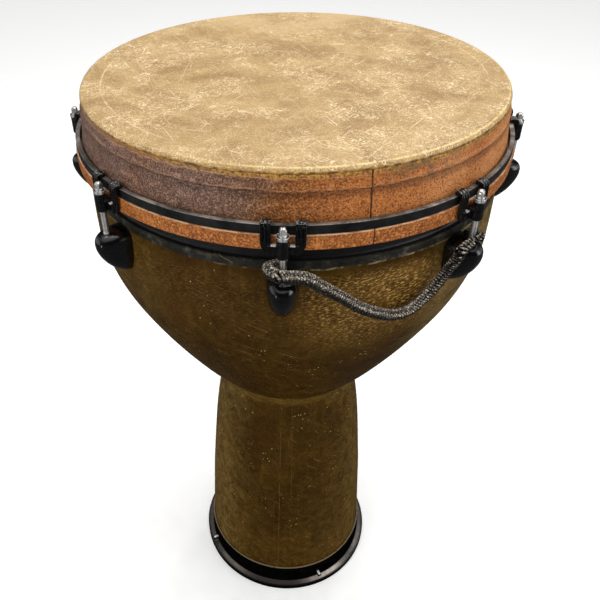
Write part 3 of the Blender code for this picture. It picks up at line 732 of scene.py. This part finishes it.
def foot_rubber():
    """Black rubber: a painted grey-brown sheen on the flange, brighter in bands, and a pale rubbed line on the
    wall's top edge.
    """
    f = Finish("foot_rubber")
    cloud = f.noise(0.01, 4, 0.65, 0.5)
    f.color = f.ramp(cloud, (0.35, 2, 2, 2), (0.68, 8, 8, 7))
    flange = f.product(f.fade(f.radius, 0.1002, 0.1014), f.fade(f.z, 0.0050, 0.0062))
    # Painted sheen: the flange is painted grey-brown, brighter in bands round the drum where it would catch the
    # lights
    shine = f.highest(*(f.product(f.band(f.angle, centre, half), strength) for centre, half, strength in (
        (0.095, 0.075, 1.0), (-0.11, 0.06, 0.45), (0.20, 0.05, 0.4))))
    painted_sheen = f.ramp(shine, (0.0, 66, 60, 56), (0.4, 122, 113, 106), (0.9, 224, 210, 200))
    f.paint(f.mix(f.fade(cloud, 0.4, 0.65, 0, 0.35), painted_sheen, (56, 50, 46)), flange, 0.95)
    f.paint((5, 5, 5), f.fade(f.radius, FOOT_RADIUS - 0.0014, FOOT_RADIUS - 0.0008))
    f.paint((120, 114, 106), f.band(f.radius, FOOT_RADIUS - 0.0020, 0.0007), f.fade(f.z, 0.0055, 0.0068), 0.5)
    f.paint((122, 106, 82), f.fade(f.z, FOOT_TOP - 0.0006, FOOT_TOP - 0.0003),
            f.fade(f.noise(0.005, 3), 0.28, 0.45, 0.4, 1))
    f.paint((112, 104, 92), f.specks(0.0028, 0.12, 0.06, 0.01, 0.5, 0.6), 0.35)
    f.raise_by(cloud, 0.0002)
    f.raise_by(f.cells(0.0009), 0.00003)
    return f.finish(f.fade(cloud, 0.3, 0.7, 0.3, 0.44), Specular_IOR_Level=f.product(flange, 0.3))


FINISH = {
    "shell_finish": film_shell(), "shell_inside": black_inside(), "head_film": head_film(),
    "collar_film": collar_film(), "hoop_film": hoop_film(), "ring_black": ring_black(),
    "black_hardware": black_hardware(), "screw_black": screw_black(), "lug_black": lug_black(),
    "chrome": chrome(), "zinc_steel": zinc_steel(), "foot_rubber": foot_rubber(),
    "rope": rope_yarn("rope", (13, 12, 11), (104, 96, 85), (232, 220, 202)),
    "rope_pale": rope_yarn("rope_pale", (26, 24, 21), (144, 134, 120), (244, 232, 214)),
    "rope_core": rope_yarn("rope_core", (6, 6, 6), (14, 14, 14), (20, 20, 20)),
}


# ---------------------------------------------------------------- turned pieces

def arc(centre, radius, start, stop, steps):
    """Points (r, z) on an arc, with its angles in degrees counted from the outward direction."""
    turns = np.radians(np.linspace(start, stop, steps + 1))
    return [(centre[0] + radius * cos(t), centre[1] + radius * sin(t)) for t in turns]


def bumps(angle, z, crowding, r=0.18):
    """Smooth noise round the drum, from about -1 to 1. crowding is how many bumps there are to a metre."""
    return noise.noise(Vector((r * sin(angle), -r * cos(angle), z)) * crowding)


def make_shell():
    """One closed profile: bearing edge, recess, shoulder, outside, and back up the inside."""
    line = smooth_line(SHELL_OUTLINE, 6) * MM
    outside = np.stack([line[:, 1], line[:, 0]], -1)
    along = np.gradient(outside, axis=0)
    inward = np.stack([along[:, 1], -along[:, 0]], -1) / np.linalg.norm(along, axis=1)[:, None]
    inside = [tuple(p) for p in (outside + WALL * inward)[::3] if p[1] < SHOULDER_Z - 12 * MM]
    edge = HEAD_TOP - 1.3 * MM
    bearing = [(RECESS_RADIUS - WALL, edge - 6 * MM)]
    bearing += arc((RECESS_RADIUS - 3 * MM, edge - 3 * MM), 3 * MM, 150, 0, 8)
    recess = [(RECESS_RADIUS, z * MM) for z in (620, 600, 585, 574, 567)]
    recess += [(RECESS_RADIUS + 0.2 * MM, SHOULDER_Z + 0.5 * MM), (RECESS_RADIUS + 0.8 * MM, SHOULDER_Z)]
    shoulder = arc((179.0 * MM, SHOULDER_Z - 1.5 * MM), 1.5 * MM, 90, 0, 5)
    profile = bearing + recess + shoulder + [tuple(p) for p in outside]
    black_top = len(bearing + recess)
    bottom = len(profile)
    profile += inside[::-1] + [(175 * MM, 550.5 * MM), (RECESS_RADIUS - WALL, 555.5 * MM)]

    shell = lathe("djembe_shell", profile, FINISH["shell_finish"],
                  change=lambda r, z, angle: r + 0.16 * MM * bumps(angle, z, 22))
    shell.data.materials.append(FINISH["shell_inside"])
    for polygon in shell.data.polygons:
        ring = polygon.index // AROUND
        polygon.material_index = int(ring < black_top or ring >= bottom)
    fit(shell, "shell", "drum")


def make_head():
    film = 1 * MM
    rim = 4.2 * MM
    centre = (HEAD_RADIUS - rim, HEAD_TOP - rim)
    flat = [r * MM for r in (0.5, 12, 30, 55, 80, 105, 130, 150, 162, 170)]
    over = [(r, HEAD_TOP) for r in flat] + arc(centre, rim, 90, 0, 10)
    under = arc(centre, rim - film, 0, 90, 8) + [(r, HEAD_TOP - film) for r in reversed(flat)]
    head = lathe("drum_head", over + under, FINISH["head_film"], closed=False)
    fit(head, "head_membrane", "drum")


def make_collar():
    film = 1 * MM
    top = HEAD_TOP - 4.5 * MM
    shares = np.linspace(0, 1, 43)
    outer = []
    for share in shares:
        bulge = 0.8 * np.exp(-((share - 0.262) / 0.035) ** 2) - 0.35 * np.exp(-((share - 0.34) / 0.03) ** 2)
        bulge -= 0.30 * np.exp(-((share - 0.09) / 0.02) ** 2)
        outer.append((HEAD_RADIUS + (4.3 * share ** 1.2 + bulge) * MM, top + (COLLAR_BOTTOM - top) * share))
    inner = [(r - film, z) for r, z in reversed(outer[::6])]

    def pressed(r, z, angle):
        share = (top - z) / (top - COLLAR_BOTTOM)
        crinkle = np.exp(-((share - 0.33) / 0.09) ** 2) * 0.28 * MM
        r += crinkle * bumps(angle, z, 130)
        r += 0.10 * MM * bumps(angle, z, 45)
        kink = 0.35 * sin(9 * share) * np.exp(-((share - 0.3) / 0.15) ** 2)
        past = np.degrees(angle) - SEAM_ANGLE - kink
        overlap = 0.45 * MM * np.exp(-max(past, 0) / 3) if past > 0 else 0.0
        return r + overlap - 0.6 * MM * np.exp(-(past / 0.16) ** 2)

    angles = even_angles(extra=SEAM_ANGLE + np.linspace(-1.2, 1.2, 25))
    collar = lathe("drum_head_collar", outer + inner, FINISH["collar_film"], angles, pressed)
    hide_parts("head_collar")
    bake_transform(collar)


def make_hoop():
    inner = HOOP_RADIUS - 8.5 * MM
    section = divided(rounded([
        (inner, HOOP_TOP, 1.2 * MM), (HOOP_RADIUS, HOOP_TOP, 1.5 * MM),
        (HOOP_RADIUS, HOOP_BOTTOM, 1.5 * MM), (inner, HOOP_BOTTOM, 1.2 * MM)]), 2 * MM)

    def wrapped(r, z, angle):
        past = np.degrees(angle) - HOOP_SEAM_ANGLE
        r += 0.14 * MM * bumps(angle, z, 60)
        return r - (0.7 * MM * np.exp(-(past / 0.14) ** 2) if r > inner + 3 * MM else 0)

    angles = even_angles(extra=HOOP_SEAM_ANGLE + np.linspace(-0.6, 0.6, 13))
    hoop = lathe("wrapped_flesh_hoop", section, FINISH["hoop_film"], angles, wrapped)
    fit(hoop, "flesh_hoop", "counter_hoop")


def make_ring():
    inner = RING_RADIUS - 4 * MM
    section = divided(rounded([
        (inner, RING_TOP, 0.9 * MM), (RING_RADIUS, RING_TOP, 0.9 * MM),
        (RING_RADIUS, RING_BOTTOM, 0.6 * MM), (inner, RING_BOTTOM, 0.6 * MM)]), 2 * MM)

    ring = lathe("counter_hoop_ring", section, FINISH["ring_black"],
                 change=lambda r, z, angle: r + 0.07 * MM * bumps(angle, z, 50))
    fit(ring, "tension_ring", "counter_hoop")


def make_foot_ring():
    seat = bottom_of("shell") - 0.3 * MM
    shell_radius = SHELL_OUTLINE[-1][1] * MM
    inner = shell_radius + 0.4 * MM
    wall = inner + 2 * MM
    flange = 7.8 * MM
    section = divided(rounded([
        (inner, FOOT_TOP, 0.4 * MM), (wall, FOOT_TOP, 0.7 * MM),
        (wall + 0.6 * MM, flange - 0.6 * MM, 0.9 * MM), (FOOT_RADIUS - 2.2 * MM, flange - 1.2 * MM, 0.9 * MM),
        (FOOT_RADIUS - 1.2 * MM, flange, 0.7 * MM), (FOOT_RADIUS, flange - 0.6 * MM, 0.7 * MM),
        (FOOT_RADIUS, 0, 0.8 * MM), (shell_radius - WALL, 0, 0.6 * MM),
        (shell_radius - WALL, seat, 0.3 * MM), (inner, seat, 0.3 * MM)]), 2.5 * MM)

    def uneven(r, z, angle):
        return r + (0.12 * MM * bumps(angle, z, 40, 0.1) if r > wall else 0)

    ring = lathe("rubber_foot_ring", section, FINISH["foot_rubber"], change=uneven)
    fit(ring, "foot_ring", "drum")


# ---------------------------------------------------------------- tension stations

def rib(name, path, radius, finish):
    """A round bar along a path in the YZ plane, with round ends."""
    path = np.array(path)
    ahead = np.gradient(path, axis=0)
    ahead /= np.linalg.norm(ahead, axis=1)[:, None]
    rings = []
    turns = np.linspace(0, 2 * pi, 12, endpoint=False)
    stations = [(path[0], ahead[0], s, -c) for s, c in ((0.35, 0.94), (0.75, 0.66))]
    stations += [(p, t, 1.0, 0.0) for p, t in zip(path, ahead)]
    stations += [(path[-1], ahead[-1], s, c) for s, c in ((0.75, 0.66), (0.35, 0.94))]
    for point, tangent, size, shift in stations:
        side = np.array((1.0, 0, 0))
        up = np.cross(tangent, side)
        middle = point + tangent * shift * radius
        rings.append([middle + size * radius * (cos(a) * side + sin(a) * up) for a in turns])
    return skin(name, rings, finish)


def plate(name, outline, front, back, finish, edge):
    """A flat bar whose outline lies in the XZ plane, with its front edge rounded."""
    outline = np.array(outline)
    middle = outline.mean(0)
    away = outline - middle
    inset = middle + away * (1 - edge / np.linalg.norm(away, axis=1))[:, None]
    layers = ((inset, front), (outline, front + edge), (outline, back))
    rings = [[(x, y, z) for x, z in line] for line, y in layers]
    return skin(name, rings, finish)


def make_claws():
    """Cast claw: a bar across, a boss for the rod, and at each side three ribs that hook over the ring."""
    finish = FINISH["black_hardware"]
    half = radius_of("claw_1")
    back = -188.6 * MM
    arm = 7.6 * MM
    taper = 5 * MM
    bar_top = 584.5 * MM
    arm_top = 601.2 * MM
    face = back - 1.9 * MM
    inner_end = -(RING_RADIUS - 3.2 * MM)
    across = half - taper
    corners = [(-across, CLAW_BOTTOM), (across, CLAW_BOTTOM), (across, bar_top), (-across, bar_top)]
    bar = divided(np.array(corners), 2 * MM)
    parts = [plate("bar", bar, back - 3.2 * MM, back, finish, 0.6 * MM)]
    quarter = np.linspace(0, pi / 2, 10)
    curve = [(half - taper * (1 - sin(t)), CLAW_BOTTOM + 11 * MM * (1 - cos(t))) for t in quarter]
    outline = [(half - arm, CLAW_BOTTOM)] + curve + [(half, arm_top), (half - arm, arm_top)]
    for side in (-1, 1):
        mirrored = divided([np.array((side * x, z)) for x, z in outline], 2 * MM)
        parts.append(plate("arm", mirrored, face, back, finish, 0.5 * MM))
        left, right = sorted((side * half, side * (half - arm)))
        low, high = (left, face, RING_TOP + 0.3 * MM), (right, inner_end, 600.6 * MM)
        parts.append(block("hook", low, high, finish, 0.5 * MM))
        for k in (-1, 0, 1):
            x = side * (half - arm / 2) + k * 2.75 * MM
            parts.append(rib("rib", hook_path(x, inner_end), 1.1 * MM, finish))
    tall = (WASHER_BOTTOM - CLAW_BOTTOM) / MM - 0.3
    boss = turned_small("boss", [(3.4, 0.1), (4.2, 0.9), (4.4, 2), (4.3, tall - 2.5), (4.4, tall - 0.3),
                                 (3.9, tall)], finish, CLAW_BOTTOM)
    low, high = (-3.6 * MM, -ROD_ORBIT, CLAW_BOTTOM + 0.6 * MM), (3.6 * MM, back, 588 * MM)
    parts += [on_rod_axis(boss), block("web", low, high, finish, 0.8 * MM)]
    body = joined("claw_casting", parts)
    fuse(body, voxel=0.3 * MM, smooth=2, keep=0.38)
    bore = turned_small("bore", [(3.15, -5), (3.15, (CLAW_TOP - CLAW_BOTTOM) / MM + 5)], finish, CLAW_BOTTOM)
    cut(body, on_rod_axis(bore))
    repeat(body, "cast_claw", "claw", "counter_hoop")


def hook_path(x, inner_end):
    """A rib's line: up the claw's front, round a bend, and inward over the ring."""
    bend = 3.6 * MM
    front = -190.6 * MM
    top = CLAW_TOP - 1.1 * MM
    path = [(x, front, z * MM) for z in np.linspace(588, 596, 5)]
    path += [(x, front + bend * (1 - cos(t)), top - bend + bend * sin(t)) for t in np.linspace(0, pi / 2, 8)]
    path += [(x, y, top) for y in np.linspace(front + bend + 0.8 * MM, inner_end - 1.4 * MM, 4)]
    return path + [(x, inner_end - 0.7 * MM, top - 0.35 * MM)]


def rod_rings(turns):
    """Rings of the rod from its tip up: thread, shank, shoulder, square head with a domed top."""
    radius = 2.72 * MM
    pitch = 1.0583 * MM
    depth = 0.5 * MM
    thread_top = 561 * MM
    rings = [circle(0.9 * MM, ROD_BOTTOM, turns), circle(radius - 0.9 * MM, ROD_BOTTOM + 0.1 * MM, turns)]
    z = ROD_BOTTOM + 0.9 * MM
    while z < thread_top:
        fade = min(1, (thread_top - z) / (2 * pitch))
        ring = []
        for a in turns:
            tooth = abs(2 * ((z / pitch - a / (2 * pi)) % 1) - 1)
            r = radius - depth * fade * (1 - tooth)
            ring.append((r * cos(a), r * sin(a), z))
        rings.append(ring)
        z += pitch / 8
    rings += [circle(radius, z, turns) for z in (thread_top, 575 * MM, WASHER_TOP - 1.1 * MM)]
    for r, z in ((3.2, -0.95), (3.35, -0.6), (3.35, 0.5), (3.1, 1.0), (2.5, 1.3)):
        rings.append(circle(r * MM, WASHER_TOP + z * MM, turns))
    square = [(abs(cos(a)) ** 5 + abs(sin(a)) ** 5) ** (-1 / 5) for a in turns]
    for half, z in ((2.5, 1.5), (2.68, 1.9), (2.68, 3.6), (2.62, 4.4),
                    (2.4, 5.2), (1.9, 5.9), (1.2, 6.3), (0.5, 6.45)):
        squareness = 0.5 if z > 5 else 1
        sizes = [half * MM * (1 + (s - 1) * squareness) for s in square]
        rings.append([(s * cos(a), s * sin(a), WASHER_TOP + z * MM) for s, a in zip(sizes, turns)])
    return rings


def make_rods():
    turns = np.linspace(0, 2 * pi, 40, endpoint=False)
    rod = skin("rod", rod_rings(turns), FINISH["chrome"])
    rod.data.set_sharp_from_angle(angle=radians(50))
    rod.matrix_world = Matrix.Translation((0, -ROD_ORBIT, 0)) @ Matrix.Rotation(radians(13), 4, "Z")
    repeat(rod, "key_rod", "tension_rod", "rod_{}")


def make_washers():
    """Cup-shaped washers: the rod's shoulder sits in them."""
    hole = 3.07
    under = (WASHER_BOTTOM - WASHER_TOP) / MM
    washer = turned_small("washer", [
        (hole, under), (4.3, under), (4.6, under + 0.3), (4.6, -0.7), (4.7, -0.35), (4.55, 0), (4.25, 0),
        (4.05, -0.3), (3.7, -1.1), (hole, -1.3)], FINISH["chrome"], WASHER_TOP, closed=True)
    repeat(on_rod_axis(washer), "rod_washer_turned", "rod_washer", "counter_hoop")


def lug_fullness(level):
    """A lug section's width and reach, as shares of the widest ones. level runs from -1 to 1."""
    if level > 0:
        upper = max(1 - level ** 3.4, 0) ** (1 / 2.2)
        return upper, upper
    return max(1 - abs(level) ** 2.3, 0) ** 0.5, max(1 - (-level) ** 1.6, 0) ** 0.64


def make_lugs():
    """Plum-shaped lug, cut to the shell, with the rod's hole and the pocket that holds the swivel nut."""
    finish = FINISH["lug_black"]
    widest = 547 * MM
    root = 180.5 * MM
    reach = LUG_REACH - root
    half = 1.03 * radius_of("lug_1")
    below = 1.5 * MM              # how far it reaches below the CAD's lug
    levels = np.sin(np.linspace(-pi / 2, pi / 2, 47)[1:-1])
    rings = []
    for level in levels:
        height = LUG_TOP - widest if level > 0 else widest + below - LUG_BOTTOM
        section = superellipse(56, half, reach, 2.4 + 0.55 * min(level, 0)) * np.array(lug_fullness(level))
        rings.append([(x, y - root, widest + level * height) for x, y in section])
    lug = skin("lug", rings, finish)
    seat_radius = root + 0.9 * MM
    cut(lug, lathe("seat", [(1 * MM, 0.6), (seat_radius, 0.6), (seat_radius, 0.48), (1 * MM, 0.48)], finish))
    low, high = np.array(((-5.4, -199.5, 538), (5.4, -170, 555.1))) * MM
    cut(lug, block("pocket", low, high, finish, 0.8 * MM))
    cut(lug, on_rod_axis(turned_small("hole", [(3.1, 553), (3.1, 570)], finish)))
    lug.data.shade_smooth()
    lug.data.set_sharp_from_angle(angle=radians(38))
    repeat(lug, "gloss_lug", "lug", "drum")


def make_lug_bolts():
    """Button-headed bolts inside the shell, one behind each lug. They are turned with their tips down."""
    seat = -173.7
    bolt = turned_small("bolt", [
        (1.4, -187), (2.0, -186.4), (2.0, seat), (4.1, seat), (4.4, seat + 0.3), (4.3, seat + 1.2),
        (3.6, seat + 2.2), (2.2, seat + 2.9), (1.6, seat + 3), (1.5, seat + 1.4)],
        FINISH["zinc_steel"], segments=32)
    bolt.data.set_sharp_from_angle(angle=radians(40))
    height = (bottom_of("lug_bolt_1") + top_of("lug_bolt_1")) / 2
    bolt.matrix_world = Matrix.Translation((0, 0, height)) @ Matrix.Rotation(-pi / 2, 4, "X")
    repeat(bolt, "lug_bolt_turned", "lug_bolt", "drum")


def make_nuts():
    """Hexagonal swivel nuts, hidden in the lugs."""
    bottom, top = bottom_of("swivel_nut_1"), top_of("swivel_nut_1")
    outer, bore = 4.6 * MM, 3.02 * MM
    turns = np.linspace(0, 2 * pi, 36, endpoint=False)
    hexagon = [outer * cos(pi / 6) / cos((a % (pi / 3)) - pi / 6) for a in turns]
    rings = []
    for z, size in ((bottom, 0.93), (bottom + 0.5 * MM, 1.0), (top - 0.5 * MM, 1.0), (top, 0.93)):
        rings.append([(size * h * cos(a), size * h * sin(a), z) for h, a in zip(hexagon, turns)])
    rings += [circle(bore, z, turns) for z in (top, bottom)]
    nut = skin("nut", rings, FINISH["zinc_steel"], closed=True)
    nut.data.set_sharp_from_angle(angle=radians(30))
    repeat(on_rod_axis(nut), "swivel_nut_hex", "swivel_nut", "drum")


def make_foot_screws():
    """Long round heads with a cross recess. They stand out past the wall of the foot ring."""
    finish = FINISH["screw_black"]
    seat = 100.3 * MM
    screw = turned_small("screw", [
        (0.8, -9.6), (1.3, -9.1), (1.3, 0), (2.5, 0), (2.7, 0.3), (2.7, 4.7), (2.4, 5.9), (1.7, 6.6),
        (0.7, 6.9), (0.1, 6.95)], finish, seat, segments=36)
    middle = Vector((0, 0, seat + 6.8 * MM))
    for size in (Vector((1.3, 0.28, 1)) * MM, Vector((0.28, 1.3, 1)) * MM):
        cut(screw, block("slot", middle - size, middle + size, finish, 0.08 * MM))
    screw.data.shade_smooth()
    screw.data.set_sharp_from_angle(angle=radians(40))
    places = [sum(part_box(f"foot_screw_{number}"), Vector()) / 2 for number in (1, 2, 3)]
    screw.matrix_world = Matrix.Translation((0, 0, places[0].z)) @ Matrix.Rotation(pi / 2, 4, "X")
    turns = [atan2(place.x, -place.y) for place in places]
    repeat(screw, "foot_screw_domed", "foot_screw", "drum", turns)


# ---------------------------------------------------------------- rope

ROPE_RADIUS = 4.4 * MM
ROPE_SURFACE = ROPE_RADIUS + 0.35 * MM
STRANDS = 4                       # in each direction
STRAND_WIDTH = 2.3 * MM
STRAND_THICKNESS = 1.6 * MM
WEAVE = 0.5 * MM                  # how far a strand rises and dips as it crosses the others
PROUD = 0.3 * MM                  # how much farther out the strands of one direction lie
ROPE_PITCH = 9.8 * MM
ROPE_STEP = 0.38 * MM
GROOVE_PITCH = 2.9 * MM
GROOVES_START = 85 * MM           # the x where painted shade of cross grooves begins between the strands
GROOVES_OPEN = 30 * MM            # how much farther right that painted shade is at full strength
STEPS = 10                        # steps of the centreline between two of its points
# The hanging span's centreline: (angle from station 1, distance from the drum's axis, height)
ROPE_SPAN = (
    (4.6, 199.5, 563.5), (8.0, 195.5, 553.0), (12.2, 192.0, 541.0), (17.2, 190.0, 526.5),
    (22.6, 188.0, 515.0), (27.0, 187.2, 509.0), (31.0, 187.2, 509.2), (34.6, 187.6, 515.4),
    (37.4, 188.8, 524.5), (39.0, 191.0, 534.5), (39.7, 194.5, 544.5), (39.8, 198.0, 552.2),
    (40.1, 199.4, 558.0),
)


def on_drum(angle, r, z):
    return np.array((r * sin(radians(angle)), -r * cos(radians(angle)), z)) * MM


def around_rod(station, radius, turns, heights):
    """Points round a station's rod. Turn 90 is on the side away from the drum, 180 on its left."""
    points = []
    for turn, z in zip(turns, heights):
        across = radius * cos(radians(turn))
        out = ROD_ORBIT / MM + radius * sin(radians(turn))
        points.append(on_drum(45 * station + np.degrees(atan2(across, out)), hypot(across, out), z))
    return points


def rope_line():
    """The rope's centreline from its hidden left end to its right one, its thickness, and where it is cut."""
    turns = np.linspace(-78, -270, 9)
    left = around_rod(0, 9.2, turns, 566.4 + 2.2 * np.cos(np.radians(turns - 135)))
    right = []
    for turn, radius, height in ((152, 8.4, 561.4), (125, 7.4, 563.0), (95, 6.8, 563.8), (60, 6.2, 564.0),
                                 (20, 5.9, 563.8), (-20, 5.8, 563.6), (-60, 5.8, 563.4), (-100, 5.8, 563.2)):
        right += around_rod(1, radius, [turn], [height])
    corners = left + [on_drum(*p) for p in ROPE_SPAN] + right
    line = smooth_line(corners, STEPS)
    lengths = np.concatenate([[0], np.cumsum(np.linalg.norm(np.diff(line, axis=0), axis=1))])
    marks = [lengths[STEPS * k] for k in (len(left), len(left) + len(ROPE_SPAN) - 1)]
    at = np.linspace(0, lengths[-1], int(lengths[-1] / ROPE_STEP))
    path = np.stack([np.interp(at, lengths, line[:, k]) for k in range(3)], -1)
    thick = np.interp(at, [marks[0], marks[0] + 40 * MM, marks[1], marks[1] + 6 * MM, marks[1] + 26 * MM],
                      [1.07, 1.0, 1.07, 1.0, 0.56])
    first, second = np.searchsorted(at, marks)
    return path, at, thick, (0, first, (first + second) // 2, second, len(path) - 1)


def frames_along(path):
    """Two directions across the path at each point that turn with it and do not spin."""
    ahead = np.gradient(path, axis=0)
    ahead /= np.linalg.norm(ahead, axis=1)[:, None]
    first = np.zeros_like(path)
    guess = np.array((0.0, 0, 1))
    for i, t in enumerate(ahead):
        guess = guess - (guess @ t) * t
        guess /= np.linalg.norm(guess)
        first[i] = guess
    return first, np.cross(ahead, first)


def strand_rings(line, out, wide, thick):
    """Sections of a flat strand along line, with its flat side facing out."""
    ahead = np.gradient(line, axis=0)
    side = np.cross(ahead, out)
    side /= np.linalg.norm(side, axis=1)[:, None]
    turns = np.linspace(0, 2 * pi, 8, endpoint=False) + pi / 8
    c, s = np.cos(turns)[None, :, None], np.sin(turns)[None, :, None]
    return line[:, None] + side[:, None] * c * wide[:, None, None] + out[:, None] * s * thick[:, None, None]


def make_rope():
    """A braided rope. Its ends wrap the rods; the span between them hangs."""
    path, at, thick, cuts = rope_line()
    first, second = frames_along(path)
    middle = ROPE_SURFACE - STRAND_THICKNESS / 2 - WEAVE - PROUD
    tubes = []
    for way in (1, -1):
        for k in range(STRANDS):
            turn = way * 2 * pi * at / ROPE_PITCH + 2 * pi * k / STRANDS
            lift = way * (WEAVE * np.cos(2 * pi * STRANDS * at / ROPE_PITCH) + PROUD)
            out = np.cos(turn)[:, None] * first + np.sin(turn)[:, None] * second
            line = path + ((middle + lift) * thick)[:, None] * out
            rings = strand_rings(line, out, thick * STRAND_WIDTH / 2, thick * STRAND_THICKNESS / 2)
            tubes.append((rings, "rope_pale" if way > 0 else "rope"))
    inside = thick * (middle - 0.3 * MM)
    tubes.append((strand_rings(path, first, inside, inside), "rope_core"))
    names = ("rope_loop_left", "rope_span_left", "rope_span_right", "rope_loop_right")
    pieces = []
    for name, start, stop in zip(names, cuts, cuts[1:]):
        part = slice(start, stop + 1)
        piece = merged(name, [skin("strand", rings[part], FINISH[finish]) for rings, finish in tubes])
        mark_crests(piece, path[part], thick[part])
        pieces.append(piece)
    for piece, node in ((pieces[0], "rope_eye_left"), (pieces[3], "rope_eye_right")):
        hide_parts(node)
        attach(piece, "drum")
    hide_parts("rope_handle")
    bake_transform(pieces[1])
    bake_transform(pieces[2])


def mark_crests(piece, path, thick):
    """Stores how far out of the rope each vertex lies (0 on its centreline, 1 at its surface), and
    how strong the painted shade of the cross grooves is there, which grows towards the rope's right end."""
    tree = kdtree.KDTree(len(path))
    for i, point in enumerate(path):
        tree.insert(point, i)
    tree.balance()
    crest = piece.data.attributes.new("crest", "FLOAT", "POINT")
    groove_shade = piece.data.attributes.new("groove_shade", "FLOAT", "POINT")
    values, depths = [], []
    for v in piece.data.vertices:
        _, i, away = tree.find(v.co)
        values.append(away / (thick[i] * ROPE_SURFACE))
        open_here = min(max((v.co.x - GROOVES_START) / GROOVES_OPEN, 0), 1)
        depths.append(open_here * (0.5 + 0.5 * cos(2 * pi * i * ROPE_STEP / GROOVE_PITCH)))
    crest.data.foreach_set("value", values)
    groove_shade.data.foreach_set("value", depths)


def merged(name, pieces):
    """One object of several that have different finishes."""
    finishes = list(dict.fromkeys(p.data.materials[0] for p in pieces))
    verts, faces, indices = [], [], []
    for piece in pieces:
        start = len(verts)
        verts += [v.co.copy() for v in piece.data.vertices]
        for polygon in piece.data.polygons:
            faces.append([start + i for i in polygon.vertices])
            indices.append(finishes.index(piece.data.materials[0]))
        bpy.data.objects.remove(piece)
    made = add_piece(name, verts, faces, *finishes)
    made.data.polygons.foreach_set("material_index", indices)
    return made


# ---------------------------------------------------------------- floor, light and camera

def emitter(name, place, aim, size, power, mirrored=True):
    """A soft rectangular light. One that is not mirrored lights pieces but leaves no shine on them."""
    light = bpy.data.lights.new(name, "AREA")
    light.shape = "RECTANGLE"
    light.size, light.size_y = size
    light.energy = power
    holder = add_object(name, light)
    holder.location = place
    holder.rotation_euler = (Vector(aim) - Vector(place)).to_track_quat("-Z", "Y").to_euler()
    holder.visible_glossy = mirrored


def make_world():
    """Even white light all round. What shines back from pieces is dark but for a bright top and sides."""
    world = bpy.data.worlds.new("studio")
    world.use_nodes = True
    n = Nodes(world.node_tree, "Generated")
    panels = n.total(n.fade(n.z, 0.55, 0.9, 0.0, 0.9), n.fade(n.math("ABSOLUTE", n.x), 0.72, 0.95, 0.0, 0.8))
    ray = n.node("ShaderNodeLightPath").outputs
    shine = n.product(ray["Is Glossy Ray"], n.total(panels, 0.015))
    lit = n.product(n.math("SUBTRACT", 1, ray["Is Glossy Ray"]), 0.62)
    seen = n.product(ray["Is Camera Ray"], 0.34)
    sky = n.tree.nodes["Background"].inputs
    n.connect((1, 1, 1, 1), sky[0])
    n.connect(n.total(shine, lit, seen), sky[1])
    bpy.context.scene.world = world


def make_stage():
    bpy.context.scene.view_settings.view_transform = "Standard"
    make_world()
    emitter("overhead", (0.15, 0.35, 2.2), (0, 0, 0.5), (2.2, 1.6), 24)
    emitter("front_left", (-1.4, -1.9, 1.5), (0, 0, 0.35), (1.2, 1.4), 16, mirrored=False)
    emitter("right", (2.0, -0.6, 1.1), (0, 0, 0.4), (0.9, 1.6), 10)
    emitter("sparkle_low", (-1.1, -1.3, 0.25), (0, 0, 0.5), (0.10, 0.35), 1.6)
    emitter("sparkle_high", (0.5, 1.3, 2.1), (0, 0, 0.5), (0.35, 0.25), 5)
    f = Finish("floor_paper")
    ray = f.node("ShaderNodeLightPath").outputs
    f.color = f.mix(f.fade(f.noise(0.02, 3), 0.3, 0.7), (240, 240, 239), (246, 246, 245))
    f.paint((0, 0, 0), ray["Is Glossy Ray"], 0.95)
    glow = f.product(ray["Is Camera Ray"], 0.22)
    paper = f.finish(0.8, Emission_Color=(1, 1, 1, 1), Emission_Strength=glow)
    half = 4.0
    floor = add_piece("floor", [(x * half, y * half, 0) for x, y in ((-1, -1), (1, -1), (1, 1), (-1, 1))],
                      [(0, 1, 2, 3)], paper)
    floor.location.z = -0.2 * MM


def make_camera():
    """The viewpoint: in front of and above the drum, looking down at it."""
    place = Vector((0.0141, -0.5776, 0.8381))
    pitch, yaw, roll = radians(38.63), radians(-4.98), radians(-1.23)
    ahead = Vector((sin(yaw) * cos(pitch), cos(yaw) * cos(pitch), -sin(pitch)))
    level = ahead.cross(Vector((0, 0, 1))).normalized()
    above = level.cross(ahead)
    right = level * cos(roll) + above * sin(roll)
    up = above * cos(roll) - level * sin(roll)
    camera = bpy.data.cameras.new("camera")
    camera.lens = 41.06
    camera.sensor_width = 36
    camera.shift_x = 0.0745
    camera.shift_y = 0.0175
    camera.clip_start = 0.01
    holder = add_object("camera", camera)
    holder.matrix_world = Matrix.Translation(place) @ Matrix((right, up, -ahead)).transposed().to_4x4()
    bpy.context.scene.camera = holder


for make in (make_shell, make_head, make_collar, make_hoop, make_ring, make_foot_ring, make_claws, make_rods,
             make_washers, make_lugs, make_lug_bolts, make_nuts, make_foot_screws, make_rope, make_stage,
             make_camera):
    make()
